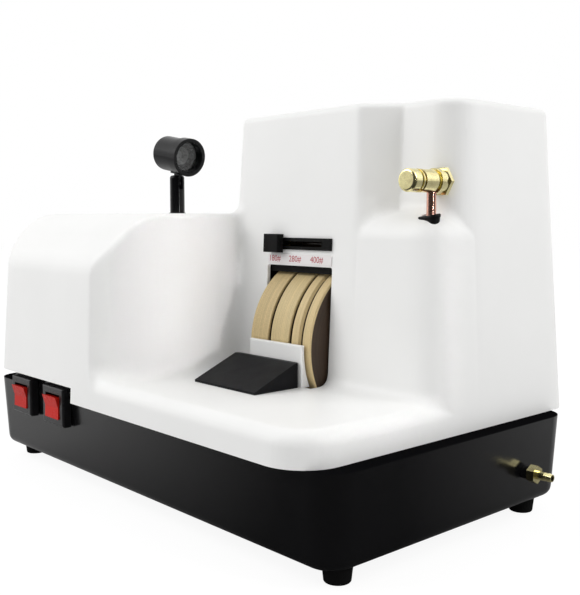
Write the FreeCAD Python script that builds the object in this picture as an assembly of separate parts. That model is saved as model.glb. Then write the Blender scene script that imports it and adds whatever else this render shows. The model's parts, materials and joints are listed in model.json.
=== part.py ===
import FreeCAD, Part
import math
import os

# Optical lens edger: three grinding wheels on a motor spindle under a white moulded cover,
# on a black base with switches, a water valve, a lamp and a drain outlet.
# Millimetres, +Z up, front towards -Y. Inside this script X is measured from the cover's
# middle, Y from the line the photograph gave and Z from the floor. The finished pieces are
# moved so that the frame's origin is under the middle of the bounding box.

V = FreeCAD.Vector

# Fits shared by every piece
overrun = 1.0
least_corner_share = 0.1667
running_gap = 0.05
loose_gap = 0.3

# Levels above the floor
foot_height = 13.0
seam_height = 76.0
raised_seam_height = 88.0
table_height = 99.0
left_top_height = 230.5
tall_rise = 80.5
tall_top_height = left_top_height + tall_rise

# Cover in plan, at the seam
wall = 3.0
shell_length = 430.0
shell_front = 152.0
shell_back = 139.0
shell_front_corner = 32.0
shell_back_corner = 15.0
shell_draft_share = 0.05
apron_edge_round = 10.0
rim_flange = 26.0
rim_height = 3.0

# Left block over the motor, with its chamfered front and its curved recess wall
left_block_edge_x = -33.0
left_block_edge_round = 3.0
recess_end_x = 5.0
recess_end_y = -50.0
recess_bulge = 7.0
recess_bend_share = 0.7
recess_foot_round = 14.0
recess_overlap = 24.0
chamfer_drop = 40.5
chamfer_top_drop = 4.5
chamfer_low_height = left_top_height - chamfer_drop
chamfer_high_height = left_top_height - chamfer_top_drop
chamfer_run = 39.0
chamfer_fade = 18.0
chamfer_low_round = 12.0
chamfer_high_round = 30.0

# Tall block, column and the bay that holds the valve
tall_left_x = -18.5
tall_left_round = 6.0
tall_front_y = -28.2
tall_rim_round = 5.0
bay_start_x = 137.0
bay_start_round = 10.0
bay_wall_y = -6.0
bay_inner_round = 6.0
bay_outer_round = 23.0
column_left_x = 110.0
column_depth = 78.0
column_round = 22.0
column_rim_round = 20.0

# Black base
base_length = 458.0
base_front = 141.0
base_back = 117.0
base_corner = 20.0
base_draft_share = 0.048
base_bottom_round = 8.0
base_wall = 3.0
base_rim = 30.0
hood_passage_gap = 1.0
tab_inset = 11.5
tab_right_x = -62.0
tab_depth = 47.0
tab_gap = 0.5

# Feet and their screws
foot_radius = 10.3
foot_taper = 1.5
foot_inset_x = 22.0
foot_inset_y = 28.0
foot_recess = 2.0
screw_radius = 2.0
screw_head_radius = 4.0
screw_head_height = 2.6
foot_boss_radius = 6.0
foot_boss_height = 12.0
cover_screw_inset_x = 12.0
cover_screw_inset_front = 60.0
cover_screw_inset_back = 97.0
cover_boss_radius = 5.0
cover_post_height = 14.0

# Window, its number strip and the selector over it
window_left_x = 35.0
window_right_x = 110.0
window_top_height = 189.0
window_corner_round = 4.0
plate_height = 8.0
plate_thickness = 0.8
plate_left_x = 36.5
plate_right_x = 109.5
rail_length = 71.0
rail_height = 9.4
rail_tongue_inset = 1.2
rail_proud = 2.0
rail_sink = 2.0
rail_low_height = 201.6
rail_start = 1.5
knob_length = 18.0
knob_height = 14.8
knob_depth = 6.0
knob_edge_round = 1.0
selector_travel = 48.0
stem_height = 3.0
stem_length = 8.0

# Grinding wheels and spindle
spindle_y = 24.0
spindle_height = 126.5
spindle_radius = 6.0
wheel_radius = 68.0
wheel_width = 21.0
wheel_gap = 3.2
wheel_left_x = 38.5
wheel_chamfer = 0.6
spacer_radius = 62.0
bevel_depth = 3.0
bevel_width = 5.0
flange_radius = 24.0
flange_width = 5.0
nut_radius = 10.0
nut_width = 8.0

# Splash hood, tray and drain
hood_gap = 7.0
hood_wall = 2.0
hood_end_gap = 5.0
hood_lip_height = 183.5
hood_front_gap = 1.0
hood_shaft_gap = 3.0
tray_wall = 2.0
tray_height = 16.0
tray_leg_radius = 4.0
tray_leg_inset = 8.0
tray_floor_height = 30.0
tray_front_y = -44.0
tray_back_y = 104.0
drain_height = 40.0
drain_y = 62.0
bushing_radius = 4.8
bushing_length = 14.0
bushing_sink = 9.0
hex_across = 13.5
hex_length = 6.0
barb_radius = 3.2
barb_shank_radius = 3.6
barb_rib = 0.5
barb_length = 12.0
barb_land = 6.0
barb_pitch = 3.0
barb_bore = 2.0
elbow_radius = 4.0
elbow_bore = 2.4

# Water guard and hand rest on the table
guard_left_x = 42.0
guard_right_x = 103.5
guard_front_y = -48.0
guard_depth = 30.0
guard_top_height = 131.0
guard_edge_round = 1.2
guard_wheel_gap = 1.5
rest_left_x = 28.0
rest_right_x = 101.0
rest_front_y = -92.0
rest_back_height = 19.0
rest_lip_height = 1.8
rest_top_depth = 3.67
rest_corner_round = 3.0

# Motor
motor_radius = 58.0
motor_wall = 2.5
motor_left_x = -172.0
motor_length = 104.0
bell_wall = 3.0
bearing_outer_radius = 14.0
bearing_width = 10.0
bearing_seat_wall = 3.0
bearing_groove = 1.5
rotor_radius = 32.0
rotor_length = 72.0
air_gap = 0.8
stator_length = 70.0
fan_radius = 38.0
fan_width = 7.0
fan_blades = 9
fan_hub_radius = 14.0
fan_blade_thickness = 2.0
spindle_left_x = -206.0
cradle_length = 84.0
cradle_width = 96.0
cradle_wall = 4.0
cradle_foot = 14.0
platform_height = 20.0
bolt_radius = 3.0
bolt_head_radius = 5.5
bolt_head_height = 4.0
capacitor_radius = 16.0
capacitor_edge_round = 2.0
capacitor_length = 52.0
capacitor_y = 92.0
capacitor_x = -70.0
terminal_length = 46.0
terminal_width = 18.0
terminal_height = 14.0
terminal_pitch = 10.0
terminal_margin_share = 0.65
terminal_screw_radius = 2.5

# Tank, filler cap, valve and supply tube
tank_wall = 2.0
tank_gap = 0.5
tank_floor_rise = 3.5
tank_floor_height = left_top_height + tank_floor_rise
tank_front_gap = 8.0
tank_corner = 12.0
tank_shelf_width = 10.0
tank_shelf_thickness = 4.0
cap_x = 60.0
cap_y = 70.0
cap_radius = 24.0
cap_height = 7.0
cap_plug_radius = 17.0
cap_plug_length = 11.0
cap_rib_height = 1.2
cap_rib_width = 5.0
valve_x = 193.5
valve_rise = 21.5
valve_height = left_top_height + valve_rise
valve_nut_across = 19.0
valve_nut_width = 3.0
valve_shoulder_radius = 9.0
valve_shoulder_length = 7.0
valve_neck_radius = 6.5
valve_neck_length = 2.5
valve_body_radius = 8.0
valve_body_length = 13.0
valve_shank_radius = 5.0
valve_shank_length = 16.0
valve_bore = 2.5
valve_gland_radius = 4.5
valve_gland_length = 1.5
valve_knob_radius = 8.0
valve_knob_length = 11.0
valve_knob_waist = 7.0
valve_knob_groove = 2.0
valve_stem_radius = 2.0
valve_stem_length = 8.0
tube_radius = 3.4
tube_bore = 2.5
tube_bend = 12.0
tube_end_x = 36.0
tube_socket = 1.5
tube_plug = 2.0
grommet_length = 22.0
grommet_width = 11.0
grommet_proud = 1.6
grommet_flange = 1.2
sleeve_radius = 6.0
sleeve_length = 15.0
sleeve_nozzle_radius = 2.0
sleeve_nozzle_length = 4.0

# Switches
bezel_width = 37.0
bezel_height = 33.0
bezel_proud = 7.5
bezel_top_height = 84.0
bezel_rim = 6.0
bezel_slope_round = 2.0
bezel_right_x = (-142.0, -82.0)
switch_body_depth = 24.0
switch_body_wall = 2.0
rocker_gap = 0.8
rocker_bend_degrees = 9.0
rocker_throw_degrees = 14.0
rocker_proud = 1.6
rocker_drop = 4.0
rocker_taper = 3.2
rocker_pin_radius = 1.5
rocker_pin_length = 1.2

# Appliance inlet on the base's back
inlet_x = -120.0
inlet_height = 44.0
inlet_width = 48.0
inlet_tall = 28.0
inlet_proud = 3.0
inlet_body_width = 27.0
inlet_body_tall = 20.0
inlet_body_depth = 22.0
inlet_cup_depth = 16.0
inlet_cup_wall = 2.0
inlet_pin_width = 2.0
inlet_pin_tall = 4.0
inlet_pin_pitch = 7.0
inlet_pin_drop = 4.0

# Lamp
lamp_x = -97.0
lamp_y = -20.0
lamp_collar_radius = 7.8
lamp_collar_height = 1.2
lamp_post_radius = 6.7
lamp_post_rise = 35.5
lamp_post_top = left_top_height + lamp_post_rise
lamp_post_round = 2.5
lamp_bore_radius = 3.0
lamp_slot_width = 4.0
lamp_slot_depth = 13.0
lamp_pivot_drop = 7.0
lamp_pivot_height = lamp_post_top - lamp_pivot_drop
lamp_pivot_radius = 1.6
lamp_lug_radius = 4.6
lamp_neck_share = 0.8
lamp_pad_share = 1.2
lamp_spigot_radius = 4.5
lamp_spigot_length = 16.0
lamp_head_radius = 15.8
lamp_bezel_radius = 17.2
lamp_bezel_length = 9.0
lamp_head_length = 38.0
lamp_head_rise = 25.4
lamp_head_height = lamp_pivot_height + lamp_head_rise
lamp_head_wall = 1.8
lamp_back_round = 3.0
lamp_back_wall = 3.0
lamp_head_shift = -3.0
lamp_pad_drop = 0.9
lamp_rest_tilt = 10.0
lamp_lens_setback = 5.0
lamp_lens_thickness = 2.0
lamp_ledge = 1.5
lamp_board_thickness = 1.6
lamp_chip_radius = 4.0
lamp_chip_height = 2.5
lamp_cup_depth = 14.0

# Places worked out from the sizes above
half_shell = shell_length / 2
half_base = base_length / 2
base_side_at_drain = half_base - (seam_height - drain_height) * base_draft_share
barb_end_x = base_side_at_drain - bushing_sink + bushing_length + hex_length + barb_length
origin_x = (barb_end_x - half_base) / 2
origin_y = (shell_back - shell_front) / 2
draft_degrees = math.degrees(math.atan(shell_draft_share))


def box(x_low, x_high, y_low, y_high, z_low, z_high):
    """A block between two corners."""
    corner = V(x_low, y_low, z_low)
    return Part.makeBox(x_high - x_low, y_high - y_low, z_high - z_low, corner)


def rod_x(x_low, x_high, y, z, radius):
    """A round bar along X."""
    return Part.makeCylinder(radius, x_high - x_low, V(x_low, y, z), V(1, 0, 0))


def rod_y(y_low, y_high, x, z, radius):
    """A round bar along Y."""
    return Part.makeCylinder(radius, y_high - y_low, V(x, y_low, z), V(0, 1, 0))


def rod_z(z_low, z_high, x, y, radius):
    """A round bar along Z."""
    return Part.makeCylinder(radius, z_high - z_low, V(x, y, z_low))


def hexagon_bar(start, direction, across, length):
    """A hexagonal bar with the given size across its flats."""
    corner = across / math.sqrt(3)
    points = []
    for step in range(7):
        angle = math.radians(60 * step)
        points.append(V(corner * math.cos(angle), corner * math.sin(angle), 0))
    face = Part.Face(Part.makePolygon(points))
    bar = face.extrude(V(0, 0, length))
    bar.Placement = FreeCAD.Placement(start, FreeCAD.Rotation(V(0, 0, 1), direction))
    return bar


def offset_points(points, distance):
    """Move every side of an anticlockwise outline inwards by a distance."""
    moved = []
    count = len(points)
    for index in range(count):
        before = points[index - 1]
        here = points[index]
        after = points[(index + 1) % count]
        side_in = (here - before).normalize()
        side_out = (after - here).normalize()
        normal_in = V(-side_in.y, side_in.x, 0)
        normal_out = V(-side_out.y, side_out.x, 0)
        spread = 1 + normal_in.dot(normal_out)
        moved.append(here + (normal_in + normal_out) * (distance / spread))
    return moved


def corner_radii(points, radii, distance):
    """Radii of an outline moved inwards: outer corners shrink, inner corners grow."""
    changed = []
    count = len(points)
    for index in range(count):
        side_in = points[index] - points[index - 1]
        side_out = points[(index + 1) % count] - points[index]
        outer = side_in.x * side_out.y - side_in.y * side_out.x > 0
        change = -distance if outer else distance
        changed.append(max(radii[index] + change, radii[index] * least_corner_share))
    return changed


def round_upright_edge(shape, low, high, radius):
    """Round the edge that runs between two points."""
    middle = (low + high) / 2
    for edge in shape.Edges:
        if len(edge.Vertexes) == 2 and (edge.CenterOfMass - middle).Length < running_gap:
            return shape.makeFillet(radius, [edge])
    return shape


def drafted_block(points, radii, z_low, z_high, inset, draft_share=shell_draft_share):
    """A moulded block whose walls lean inwards as they rise from the seam."""
    rings = []
    for height in (z_low, z_high):
        distance = inset + (height - seam_height) * draft_share
        rings.append([point + V(0, 0, height) for point in offset_points(points, distance)])
    low, high = rings
    faces = [Part.Face(Part.makePolygon([low[0]] + low[::-1])),
             Part.Face(Part.makePolygon(high + [high[0]]))]
    for index in range(len(points)):
        corners = [low[index - 1], low[index], high[index], high[index - 1], low[index - 1]]
        faces.append(Part.Face(Part.makePolygon(corners)))
    block = Part.Solid(Part.Shell(faces))
    for index, radius in enumerate(corner_radii(points, radii, inset)):
        block = round_upright_edge(block, low[index], high[index], radius)
    return block


def round_level_edges(shape, height, radius):
    """Round the edges that lie flat at a height."""
    edges = []
    for edge in shape.Edges:
        bounds = edge.BoundBox
        if abs(bounds.ZMin - height) < running_gap and abs(bounds.ZMax - height) < running_gap:
            edges.append(edge)
    return shape.makeFillet(radius, edges)


def apron_outline():
    """The cover's plan at the seam."""
    points = [V(-half_shell, -shell_front, 0), V(half_shell, -shell_front, 0)]
    points += [V(half_shell, shell_back, 0), V(-half_shell, shell_back, 0)]
    radii = [shell_front_corner, shell_front_corner, shell_back_corner, shell_back_corner]
    return points, radii


def left_outline():
    """The left block's plan, with the recess wall as a shallow outward bend."""
    middle_x = (left_block_edge_x + recess_end_x) / 2
    middle_y = (recess_end_y - shell_front) / 2
    chord = V(recess_end_x - left_block_edge_x, recess_end_y + shell_front, 0)
    outward = V(chord.y, -chord.x, 0).normalize()
    bend = V(middle_x, middle_y, 0) + outward * recess_bulge * 2
    end = V(recess_end_x, recess_end_y, 0)
    inside_y = tall_front_y + recess_overlap
    points = [V(-half_shell, -shell_front, 0), V(left_block_edge_x, -shell_front, 0)]
    points += [bend, end, V(recess_end_x, inside_y, 0), V(recess_end_x + recess_overlap, inside_y, 0)]
    points += [V(recess_end_x + recess_overlap, shell_back, 0), V(-half_shell, shell_back, 0)]
    bend_radius = chord.Length * chord.Length / (recess_bulge * 8)
    radii = [shell_front_corner, left_block_edge_round, bend_radius * recess_bend_share]
    radii += [recess_foot_round] + [left_block_edge_round] * 3 + [shell_back_corner]
    return points, radii


def tall_outline():
    """The tall block's plan, with the bay cut from its front right corner."""
    bay_corner_x = bay_start_x + bay_wall_y - tall_front_y
    points = [V(tall_left_x, tall_front_y, 0), V(bay_start_x, tall_front_y, 0)]
    points += [V(bay_corner_x, bay_wall_y, 0), V(half_shell, bay_wall_y, 0)]
    points += [V(half_shell, shell_back, 0), V(tall_left_x, shell_back, 0)]
    radii = [tall_left_round, bay_start_round, bay_inner_round]
    radii += [bay_outer_round, shell_back_corner, shell_back_corner]
    return points, radii


def column_outline():
    """The column's plan, in front of and below the bay."""
    points = [V(column_left_x, tall_front_y, 0), V(half_shell, tall_front_y, 0)]
    points += [V(half_shell, tall_front_y + column_depth, 0)]
    points += [V(column_left_x, tall_front_y + column_depth, 0)]
    return points, [column_round] * 4


def left_profile(inset):
    """The left block seen from its side, with the chamfered front, as a bar along X."""
    front = -shell_front + inset
    low = V(0, front, chamfer_low_height - inset / 2)
    high = V(0, front + chamfer_run, chamfer_high_height - inset)
    top = V(0, front + chamfer_run + chamfer_fade, left_top_height - inset)
    far = shell_back + overrun
    floor = seam_height - overrun
    lean = (low.z - seam_height) * shell_draft_share
    points = [V(0, front, floor), low + V(0, lean, 0), high, top]
    points += [V(0, far, left_top_height - inset), V(0, far, floor)]
    start = -half_shell - overrun
    wire = Part.makePolygon([point + V(start, 0, 0) for point in points + [points[0]]])
    bar = Part.Face(wire).extrude(V(half_shell + recess_end_x + overrun * 2 + recess_overlap, 0, 0))
    rounds = ((low + V(0, lean, 0), chamfer_low_round), (high, chamfer_high_round))
    for corner, radius in rounds:
        for edge in bar.Edges:
            bounds = edge.BoundBox
            on_corner = abs(bounds.YMin - corner.y) < running_gap and abs(bounds.ZMin - corner.z) < running_gap
            if on_corner and bounds.XLength > wall:
                bar = bar.makeFillet(radius, [edge])
                break
    return bar


def column_block(inset, floor):
    """The column with its domed top."""
    points, radii = column_outline()
    column = drafted_block(points, radii, floor, left_top_height - inset, inset)
    return round_level_edges(column, left_top_height - inset, column_rim_round - inset)


def cover_blocks(inset, floor):
    """The cover's four blocks, or with an inset the hollows inside their walls."""
    points, radii = apron_outline()
    apron = drafted_block(points, radii, floor, table_height - inset, inset)
    apron = round_level_edges(apron, table_height - inset, apron_edge_round - inset)
    points, radii = left_outline()
    left = drafted_block(points, radii, floor, left_top_height - inset, inset)
    left = left.common(left_profile(inset))
    points, radii = tall_outline()
    tall = drafted_block(points, radii, floor, tall_top_height - inset, inset)
    tall = round_level_edges(tall, tall_top_height - inset, tall_rim_round - inset)
    return [apron, left, tall, column_block(inset, floor)]


def cover_walls():
    """The cover as an open moulding: its joined blocks without their hollows."""
    blocks = cover_blocks(0, seam_height)
    walls = blocks[0].fuse(blocks[1:])
    for hollow in cover_blocks(wall, seam_height + rim_height):
        walls = walls.cut(hollow)
    return walls


def front_lean(height):
    """How far back the front wall of the tall block lies at a height."""
    return tall_front_y + (height - seam_height) * shell_draft_share


def lean_with_front(shape, height):
    """Tip a piece built on the front wall at a height so that it lies along the lean."""
    tipped = shape.copy()
    tipped.rotate(V(0, front_lean(height), height), V(1, 0, 0), -draft_degrees)
    return tipped


def cover_screw_places():
    """Where the screws that hold the cover stand."""
    x = half_shell - cover_screw_inset_x
    front = -shell_front + cover_screw_inset_front
    back = shell_back - cover_screw_inset_back
    return [(-x, front), (x, front), (x, back), (-x, back)]


def foot_places():
    """Where the feet stand."""
    x = half_base - foot_inset_x
    front = -base_front + foot_inset_y
    back = base_back - foot_inset_y
    return [(-x, front), (x, front), (x, back), (-x, back)]


def make_top_shell():
    """White cover: apron, left block, recess wall, tall block, column and bay."""
    shell = cover_walls()
    points, radii = apron_outline()
    rim_hole = drafted_block(points, radii, seam_height - overrun, seam_height + rim_height + overrun,
                             rim_flange)
    shell = shell.cut(rim_hole)
    notch = tab_space(seam_height - overrun, raised_seam_height + tab_gap, -overrun)
    shell = shell.cut(notch).fuse(tab_ledge())
    for x, y in cover_screw_places():
        post = rod_z(seam_height, seam_height + cover_post_height, x, y, cover_boss_radius)
        hole = rod_z(seam_height - overrun, seam_height + cover_post_height - overrun, x, y, screw_radius)
        shell = shell.fuse(post).cut(hole)
    window = box(window_left_x, window_right_x, front_lean(table_height) - overrun * 2, spindle_y,
                 table_height - wall - overrun, window_top_height)
    edges = [edge for edge in window.Edges if edge.BoundBox.YLength > wall]
    window = window.makeFillet(window_corner_round, edges)
    well = box(window_left_x, window_right_x, guard_front_y + wall, spindle_y,
               seam_height, table_height + overrun)
    shell = shell.cut(window).cut(well)
    shell = shell.fuse(tank_shelf())
    shell = shell.cut(rail_opening())
    shell = shell.cut(grommet_opening())
    shell = shell.cut(rod_y(bay_wall_y, valve_back(), valve_x, valve_height, valve_shank_radius + loose_gap))
    shell = shell.cut(rod_z(left_top_height - wall * 2, left_top_height + overrun, lamp_x, lamp_y,
                            lamp_spigot_radius + running_gap))
    cup, seat = cap_seat()
    return shell.fuse(cup).cut(seat)


def cap_seat():
    """Round recess in the tall block's top, with a neck through its floor."""
    low = tall_top_height - cap_height - loose_gap
    cup = rod_z(low - wall, tall_top_height - wall / 2, cap_x, cap_y, cap_radius + loose_gap + wall)
    recess = rod_z(low, tall_top_height + overrun, cap_x, cap_y, cap_radius + loose_gap)
    neck = rod_z(low - wall - overrun, low + overrun, cap_x, cap_y, cap_plug_radius + loose_gap)
    return cup, recess.fuse(neck)


def tab_space(z_low, z_high, inset):
    """The band round the cover's left front corner where the base's tab stands."""
    points, radii = apron_outline()
    outside = drafted_block(points, radii, z_low, z_high, inset)
    inside = drafted_block(points, radii, z_low - overrun, z_high + overrun, rim_flange + overrun)
    limits = box(-half_shell - overrun * 2, tab_right_x, -shell_front - overrun * 2,
                 -shell_front + tab_depth,
                 z_low, z_high)
    return outside.cut(inside).common(limits)


def tab_ledge():
    """The cover's bottom flange where its seam is raised."""
    points, radii = apron_outline()
    low = raised_seam_height + tab_gap
    outside = drafted_block(points, radii, low, low + rim_height, wall / 2)
    inside = drafted_block(points, radii, low - overrun, low + rim_height + overrun, rim_flange)
    limits = box(-half_shell, tab_right_x + wall, -shell_front, -shell_front + tab_depth + wall,
                 low, low + rim_height)
    return outside.cut(inside).common(limits)


def base_outline():
    """The base's plan at its top."""
    points = [V(-half_base, -base_front, 0), V(half_base, -base_front, 0)]
    points += [V(half_base, base_back, 0), V(-half_base, base_back, 0)]
    return points, [base_corner] * 4


def base_block(inset, z_low, z_high):
    """The base's outer form or hollow: its walls lean inwards as they go down."""
    points, radii = base_outline()
    return drafted_block(points, radii, z_low, z_high, inset, -base_draft_share)


def make_base_tub():
    """Black base with rim, tab, feet bosses, motor platform and wall openings."""
    tub = base_block(0, foot_height, seam_height)
    tub = round_level_edges(tub, foot_height, base_bottom_round)
    floor_top = foot_height + base_wall
    hollow = base_block(base_wall, floor_top, seam_height - rim_height)
    hollow = round_level_edges(hollow, floor_top, base_bottom_round - base_wall)
    tub = tub.cut(hollow).cut(base_block(base_rim, seam_height - rim_height - overrun,
                                         seam_height + overrun))
    tub = tub.fuse(tab_wall())
    for x, y in foot_places():
        boss = rod_z(foot_height, floor_top + foot_boss_height, x, y, foot_boss_radius)
        tub = tub.fuse(boss).cut(rod_z(foot_height - overrun, floor_top + foot_boss_height - wall,
                                       x, y, screw_radius))
    for x, y in cover_screw_places():
        column = rod_z(floor_top, seam_height, x, y, cover_boss_radius)
        bore = rod_z(foot_height - overrun, seam_height + overrun, x, y, screw_radius + loose_gap)
        sink = rod_z(foot_height - overrun, foot_height + screw_head_height, x, y,
                     screw_head_radius + loose_gap)
        tub = tub.fuse(column).cut(bore).cut(sink)
    tub = tub.fuse(motor_platform())
    low_x, high_x = hood_ends()
    grow = hood_wall + hood_passage_gap
    tub = tub.cut(box(low_x - grow, high_x + grow, spindle_y, spindle_y + wheel_radius + hood_gap + grow,
                      seam_height - rim_height - overrun, seam_height + overrun))
    for right_x in bezel_right_x:
        tub = tub.cut(switch_opening(right_x))
    side = half_base
    tub = tub.cut(rod_x(side - base_rim, side + overrun, drain_y, drain_height, bushing_radius))
    tub = tub.cut(box(inlet_x - inlet_body_width / 2, inlet_x + inlet_body_width / 2, base_back - base_rim,
                      base_back + overrun, inlet_height - inlet_body_tall / 2,
                      inlet_height + inlet_body_tall / 2))
    return tub


def tab_wall():
    """The upright tab that fills the cover's raised seam."""
    band = tab_space(seam_height - rim_height, raised_seam_height, tab_inset)
    points, radii = apron_outline()
    inside = drafted_block(points, radii, seam_height - rim_height - overrun, raised_seam_height + overrun,
                           tab_inset + base_wall)
    return band.cut(inside)


def motor_platform():
    """Ribbed step on the base's floor that the motor cradle is bolted to."""
    x_mid = motor_left_x + motor_length / 2
    half = cradle_length / 2
    wide = cradle_width / 2
    floor_top = foot_height + base_wall
    step = box(x_mid - half, x_mid + half, spindle_y - wide, spindle_y + wide,
               floor_top - overrun, floor_top + platform_height)
    relief = box(x_mid - half + base_wall, x_mid + half - base_wall, spindle_y - wide + cradle_foot,
                 spindle_y + wide - cradle_foot, floor_top, floor_top + platform_height + overrun)
    step = step.cut(relief)
    for x, y in motor_bolt_places():
        step = step.cut(rod_z(floor_top + base_wall, floor_top + platform_height + overrun, x, y,
                              bolt_radius))
    return step


def motor_bolt_places():
    """Where the motor's four bolts stand."""
    x_mid = motor_left_x + motor_length / 2
    x_off = cradle_length / 2 - cradle_foot / 2
    y_off = cradle_width / 2 - cradle_foot / 2
    return [(x_mid + sx * x_off, spindle_y + sy * y_off) for sx in (-1, 1) for sy in (-1, 1)]


def make_foot(x, y):
    """One soft foot, narrower at the floor, with a recess for its screw."""
    foot = Part.makeCone(foot_radius - foot_taper, foot_radius, foot_height, V(x, y, 0))
    foot = round_level_edges(foot, 0, foot_taper)
    sink = rod_z(-overrun, foot_recess + screw_head_height, x, y, screw_head_radius + loose_gap)
    bore = rod_z(0, foot_height + overrun, x, y, screw_radius + loose_gap)
    return foot.cut(sink).cut(bore)


def make_foot_screws():
    """A screw up through each foot into its boss."""
    screws = []
    for x, y in foot_places():
        head_low = foot_recess
        head = rod_z(head_low, head_low + screw_head_height, x, y, screw_head_radius)
        shank = rod_z(head_low, foot_height + base_wall + foot_boss_height / 2, x, y, screw_radius)
        screws.append(head.fuse(shank))
    return Part.makeCompound(screws)


def make_shell_screws():
    """Screws from below that hold the cover to the base."""
    screws = []
    for x, y in cover_screw_places():
        head = rod_z(foot_height, foot_height + screw_head_height, x, y, screw_head_radius)
        shank = rod_z(foot_height, seam_height + cover_post_height - rim_height, x, y, screw_radius)
        screws.append(head.fuse(shank))
    return Part.makeCompound(screws)


def wheel_start(index):
    """Left side of a wheel in the pack."""
    return wheel_left_x + index * (wheel_width + wheel_gap)


def make_wheel(index):
    """One grinding wheel with its abrasive rim, bored for the spindle."""
    x = wheel_start(index)
    wheel = rod_x(x, x + wheel_width, spindle_y, spindle_height, wheel_radius)
    rim = [edge for edge in wheel.Edges if edge.BoundBox.ZLength > wheel_radius and edge.BoundBox.XLength < wall]
    wheel = wheel.makeChamfer(wheel_chamfer, rim)
    wheel = wheel.cut(rod_x(x - overrun, x + wheel_width + overrun, spindle_y, spindle_height,
                            spindle_radius + running_gap))
    if index == 2:
        middle = x + wheel_width / 2
        wheel = wheel.cut(bevel_ring(middle))
    return wheel


def bevel_ring(middle):
    """The V groove round the finishing wheel."""
    outer = wheel_radius + overrun
    half = bevel_width / 2 * (bevel_depth + overrun) / bevel_depth
    points = [V(middle - half, 0, outer), V(middle, 0, wheel_radius - bevel_depth), V(middle + half, 0,
                                                                                      outer)]
    face = Part.Face(Part.makePolygon(points + [points[0]]))
    face.translate(V(0, spindle_y, spindle_height))
    return face.revolve(V(0, spindle_y, spindle_height), V(1, 0, 0), 360)


def make_wheel_spacers():
    """Discs between the wheels, set back from their rims."""
    discs = []
    for index in range(2):
        x = wheel_start(index) + wheel_width
        disc = rod_x(x, x + wheel_gap, spindle_y, spindle_height, spacer_radius)
        bore = rod_x(x - overrun, x + wheel_gap + overrun, spindle_y, spindle_height,
                     spindle_radius + running_gap)
        discs.append(disc.cut(bore))
    return Part.makeCompound(discs)


def wheel_pack_end():
    """Right side of the wheel pack."""
    return wheel_start(2) + wheel_width


def make_flange(x):
    """A clamping flange beside the wheel pack."""
    flange = rod_x(x, x + flange_width, spindle_y, spindle_height, flange_radius)
    return flange.cut(rod_x(x - overrun, x + flange_width + overrun, spindle_y, spindle_height,
                            spindle_radius + running_gap))


def make_wheel_nut():
    """The nut that clamps the pack, on the spindle's end."""
    x = wheel_pack_end() + flange_width
    start = V(x, spindle_y, spindle_height)
    nut = hexagon_bar(start, V(1, 0, 0), nut_radius * 2, nut_width)
    return nut.cut(rod_x(x - overrun, x + nut_width + overrun, spindle_y, spindle_height,
                         spindle_radius + running_gap))


def spindle_end_x():
    """Right end of the spindle, just past its nut."""
    return wheel_pack_end() + flange_width + nut_width + overrun


def make_motor_shaft():
    """The spindle: one steel shaft from the fan to the wheel nut."""
    return rod_x(spindle_left_x, spindle_end_x(), spindle_y, spindle_height, spindle_radius)


def motor_middle():
    """Middle of the motor along the spindle."""
    return motor_left_x + motor_length / 2


def make_motor_rotor():
    """Rotor core pressed on the shaft."""
    start = motor_middle() - rotor_length / 2
    core = rod_x(start, start + rotor_length, spindle_y, spindle_height, rotor_radius)
    return core.cut(rod_x(start - overrun, start + rotor_length + overrun, spindle_y, spindle_height,
                          spindle_radius + running_gap))


def make_motor_stator():
    """Laminated stator ring inside the motor's housing."""
    start = motor_middle() - stator_length / 2
    ring = rod_x(start, start + stator_length, spindle_y, spindle_height, motor_radius - motor_wall)
    return ring.cut(rod_x(start - overrun, start + stator_length + overrun, spindle_y, spindle_height,
                          rotor_radius + air_gap))


def make_motor_housing():
    """Round motor housing, open at both ends."""
    outer = rod_x(motor_left_x, motor_left_x + motor_length, spindle_y, spindle_height, motor_radius)
    return outer.cut(rod_x(motor_left_x - overrun, motor_left_x + motor_length + overrun, spindle_y,
                           spindle_height, motor_radius - motor_wall))


def make_end_bell(face_x, direction):
    """Cast end of the motor with its bearing seat; direction points away from the motor."""
    outer = Part.makeCylinder(motor_radius, bell_wall, V(face_x, spindle_y, spindle_height), V(direction,
                                                                                               0, 0))
    seat_length = bearing_width + bell_wall
    seat = Part.makeCylinder(bearing_outer_radius + bearing_seat_wall, seat_length,
                             V(face_x, spindle_y, spindle_height), V(direction, 0, 0))
    pocket = Part.makeCylinder(bearing_outer_radius, bearing_width + overrun,
                               V(face_x - direction * overrun, spindle_y, spindle_height), V(direction, 0,
                                                                                             0))
    through = Part.makeCylinder(spindle_radius + loose_gap, seat_length + overrun,
                                V(face_x, spindle_y, spindle_height), V(direction, 0, 0))
    bell = outer.fuse(seat).cut(pocket).cut(through)
    for step in range(6):
        angle = math.radians(60 * step)
        reach = (motor_radius + bearing_outer_radius) / 2 + bearing_seat_wall
        centre = V(face_x - direction * overrun, spindle_y + reach * math.cos(angle),
                   spindle_height + reach * math.sin(angle))
        vent = Part.makeCylinder(bearing_outer_radius / 2, bell_wall + overrun * 2, centre, V(direction,
                                                                                              0, 0))
        bell = bell.cut(vent)
    return bell


def make_bearing(face_x, direction):
    """A shielded ball bearing in its seat."""
    start = V(face_x, spindle_y, spindle_height)
    ring = Part.makeCylinder(bearing_outer_radius, bearing_width, start, V(direction, 0, 0))
    bore = Part.makeCylinder(spindle_radius + running_gap, bearing_width + overrun, start, V(direction, 0,
                                                                                             0))
    middle = (bearing_outer_radius + spindle_radius) / 2
    far = start + V(direction * (bearing_width - bearing_groove), 0, 0)
    groove = Part.makeCylinder(middle + bearing_groove, bearing_groove + overrun, far, V(direction, 0, 0))
    groove = groove.cut(Part.makeCylinder(middle - bearing_groove, bearing_groove + overrun, far,
                                          V(direction, 0, 0)))
    return ring.cut(bore).cut(groove)


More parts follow.
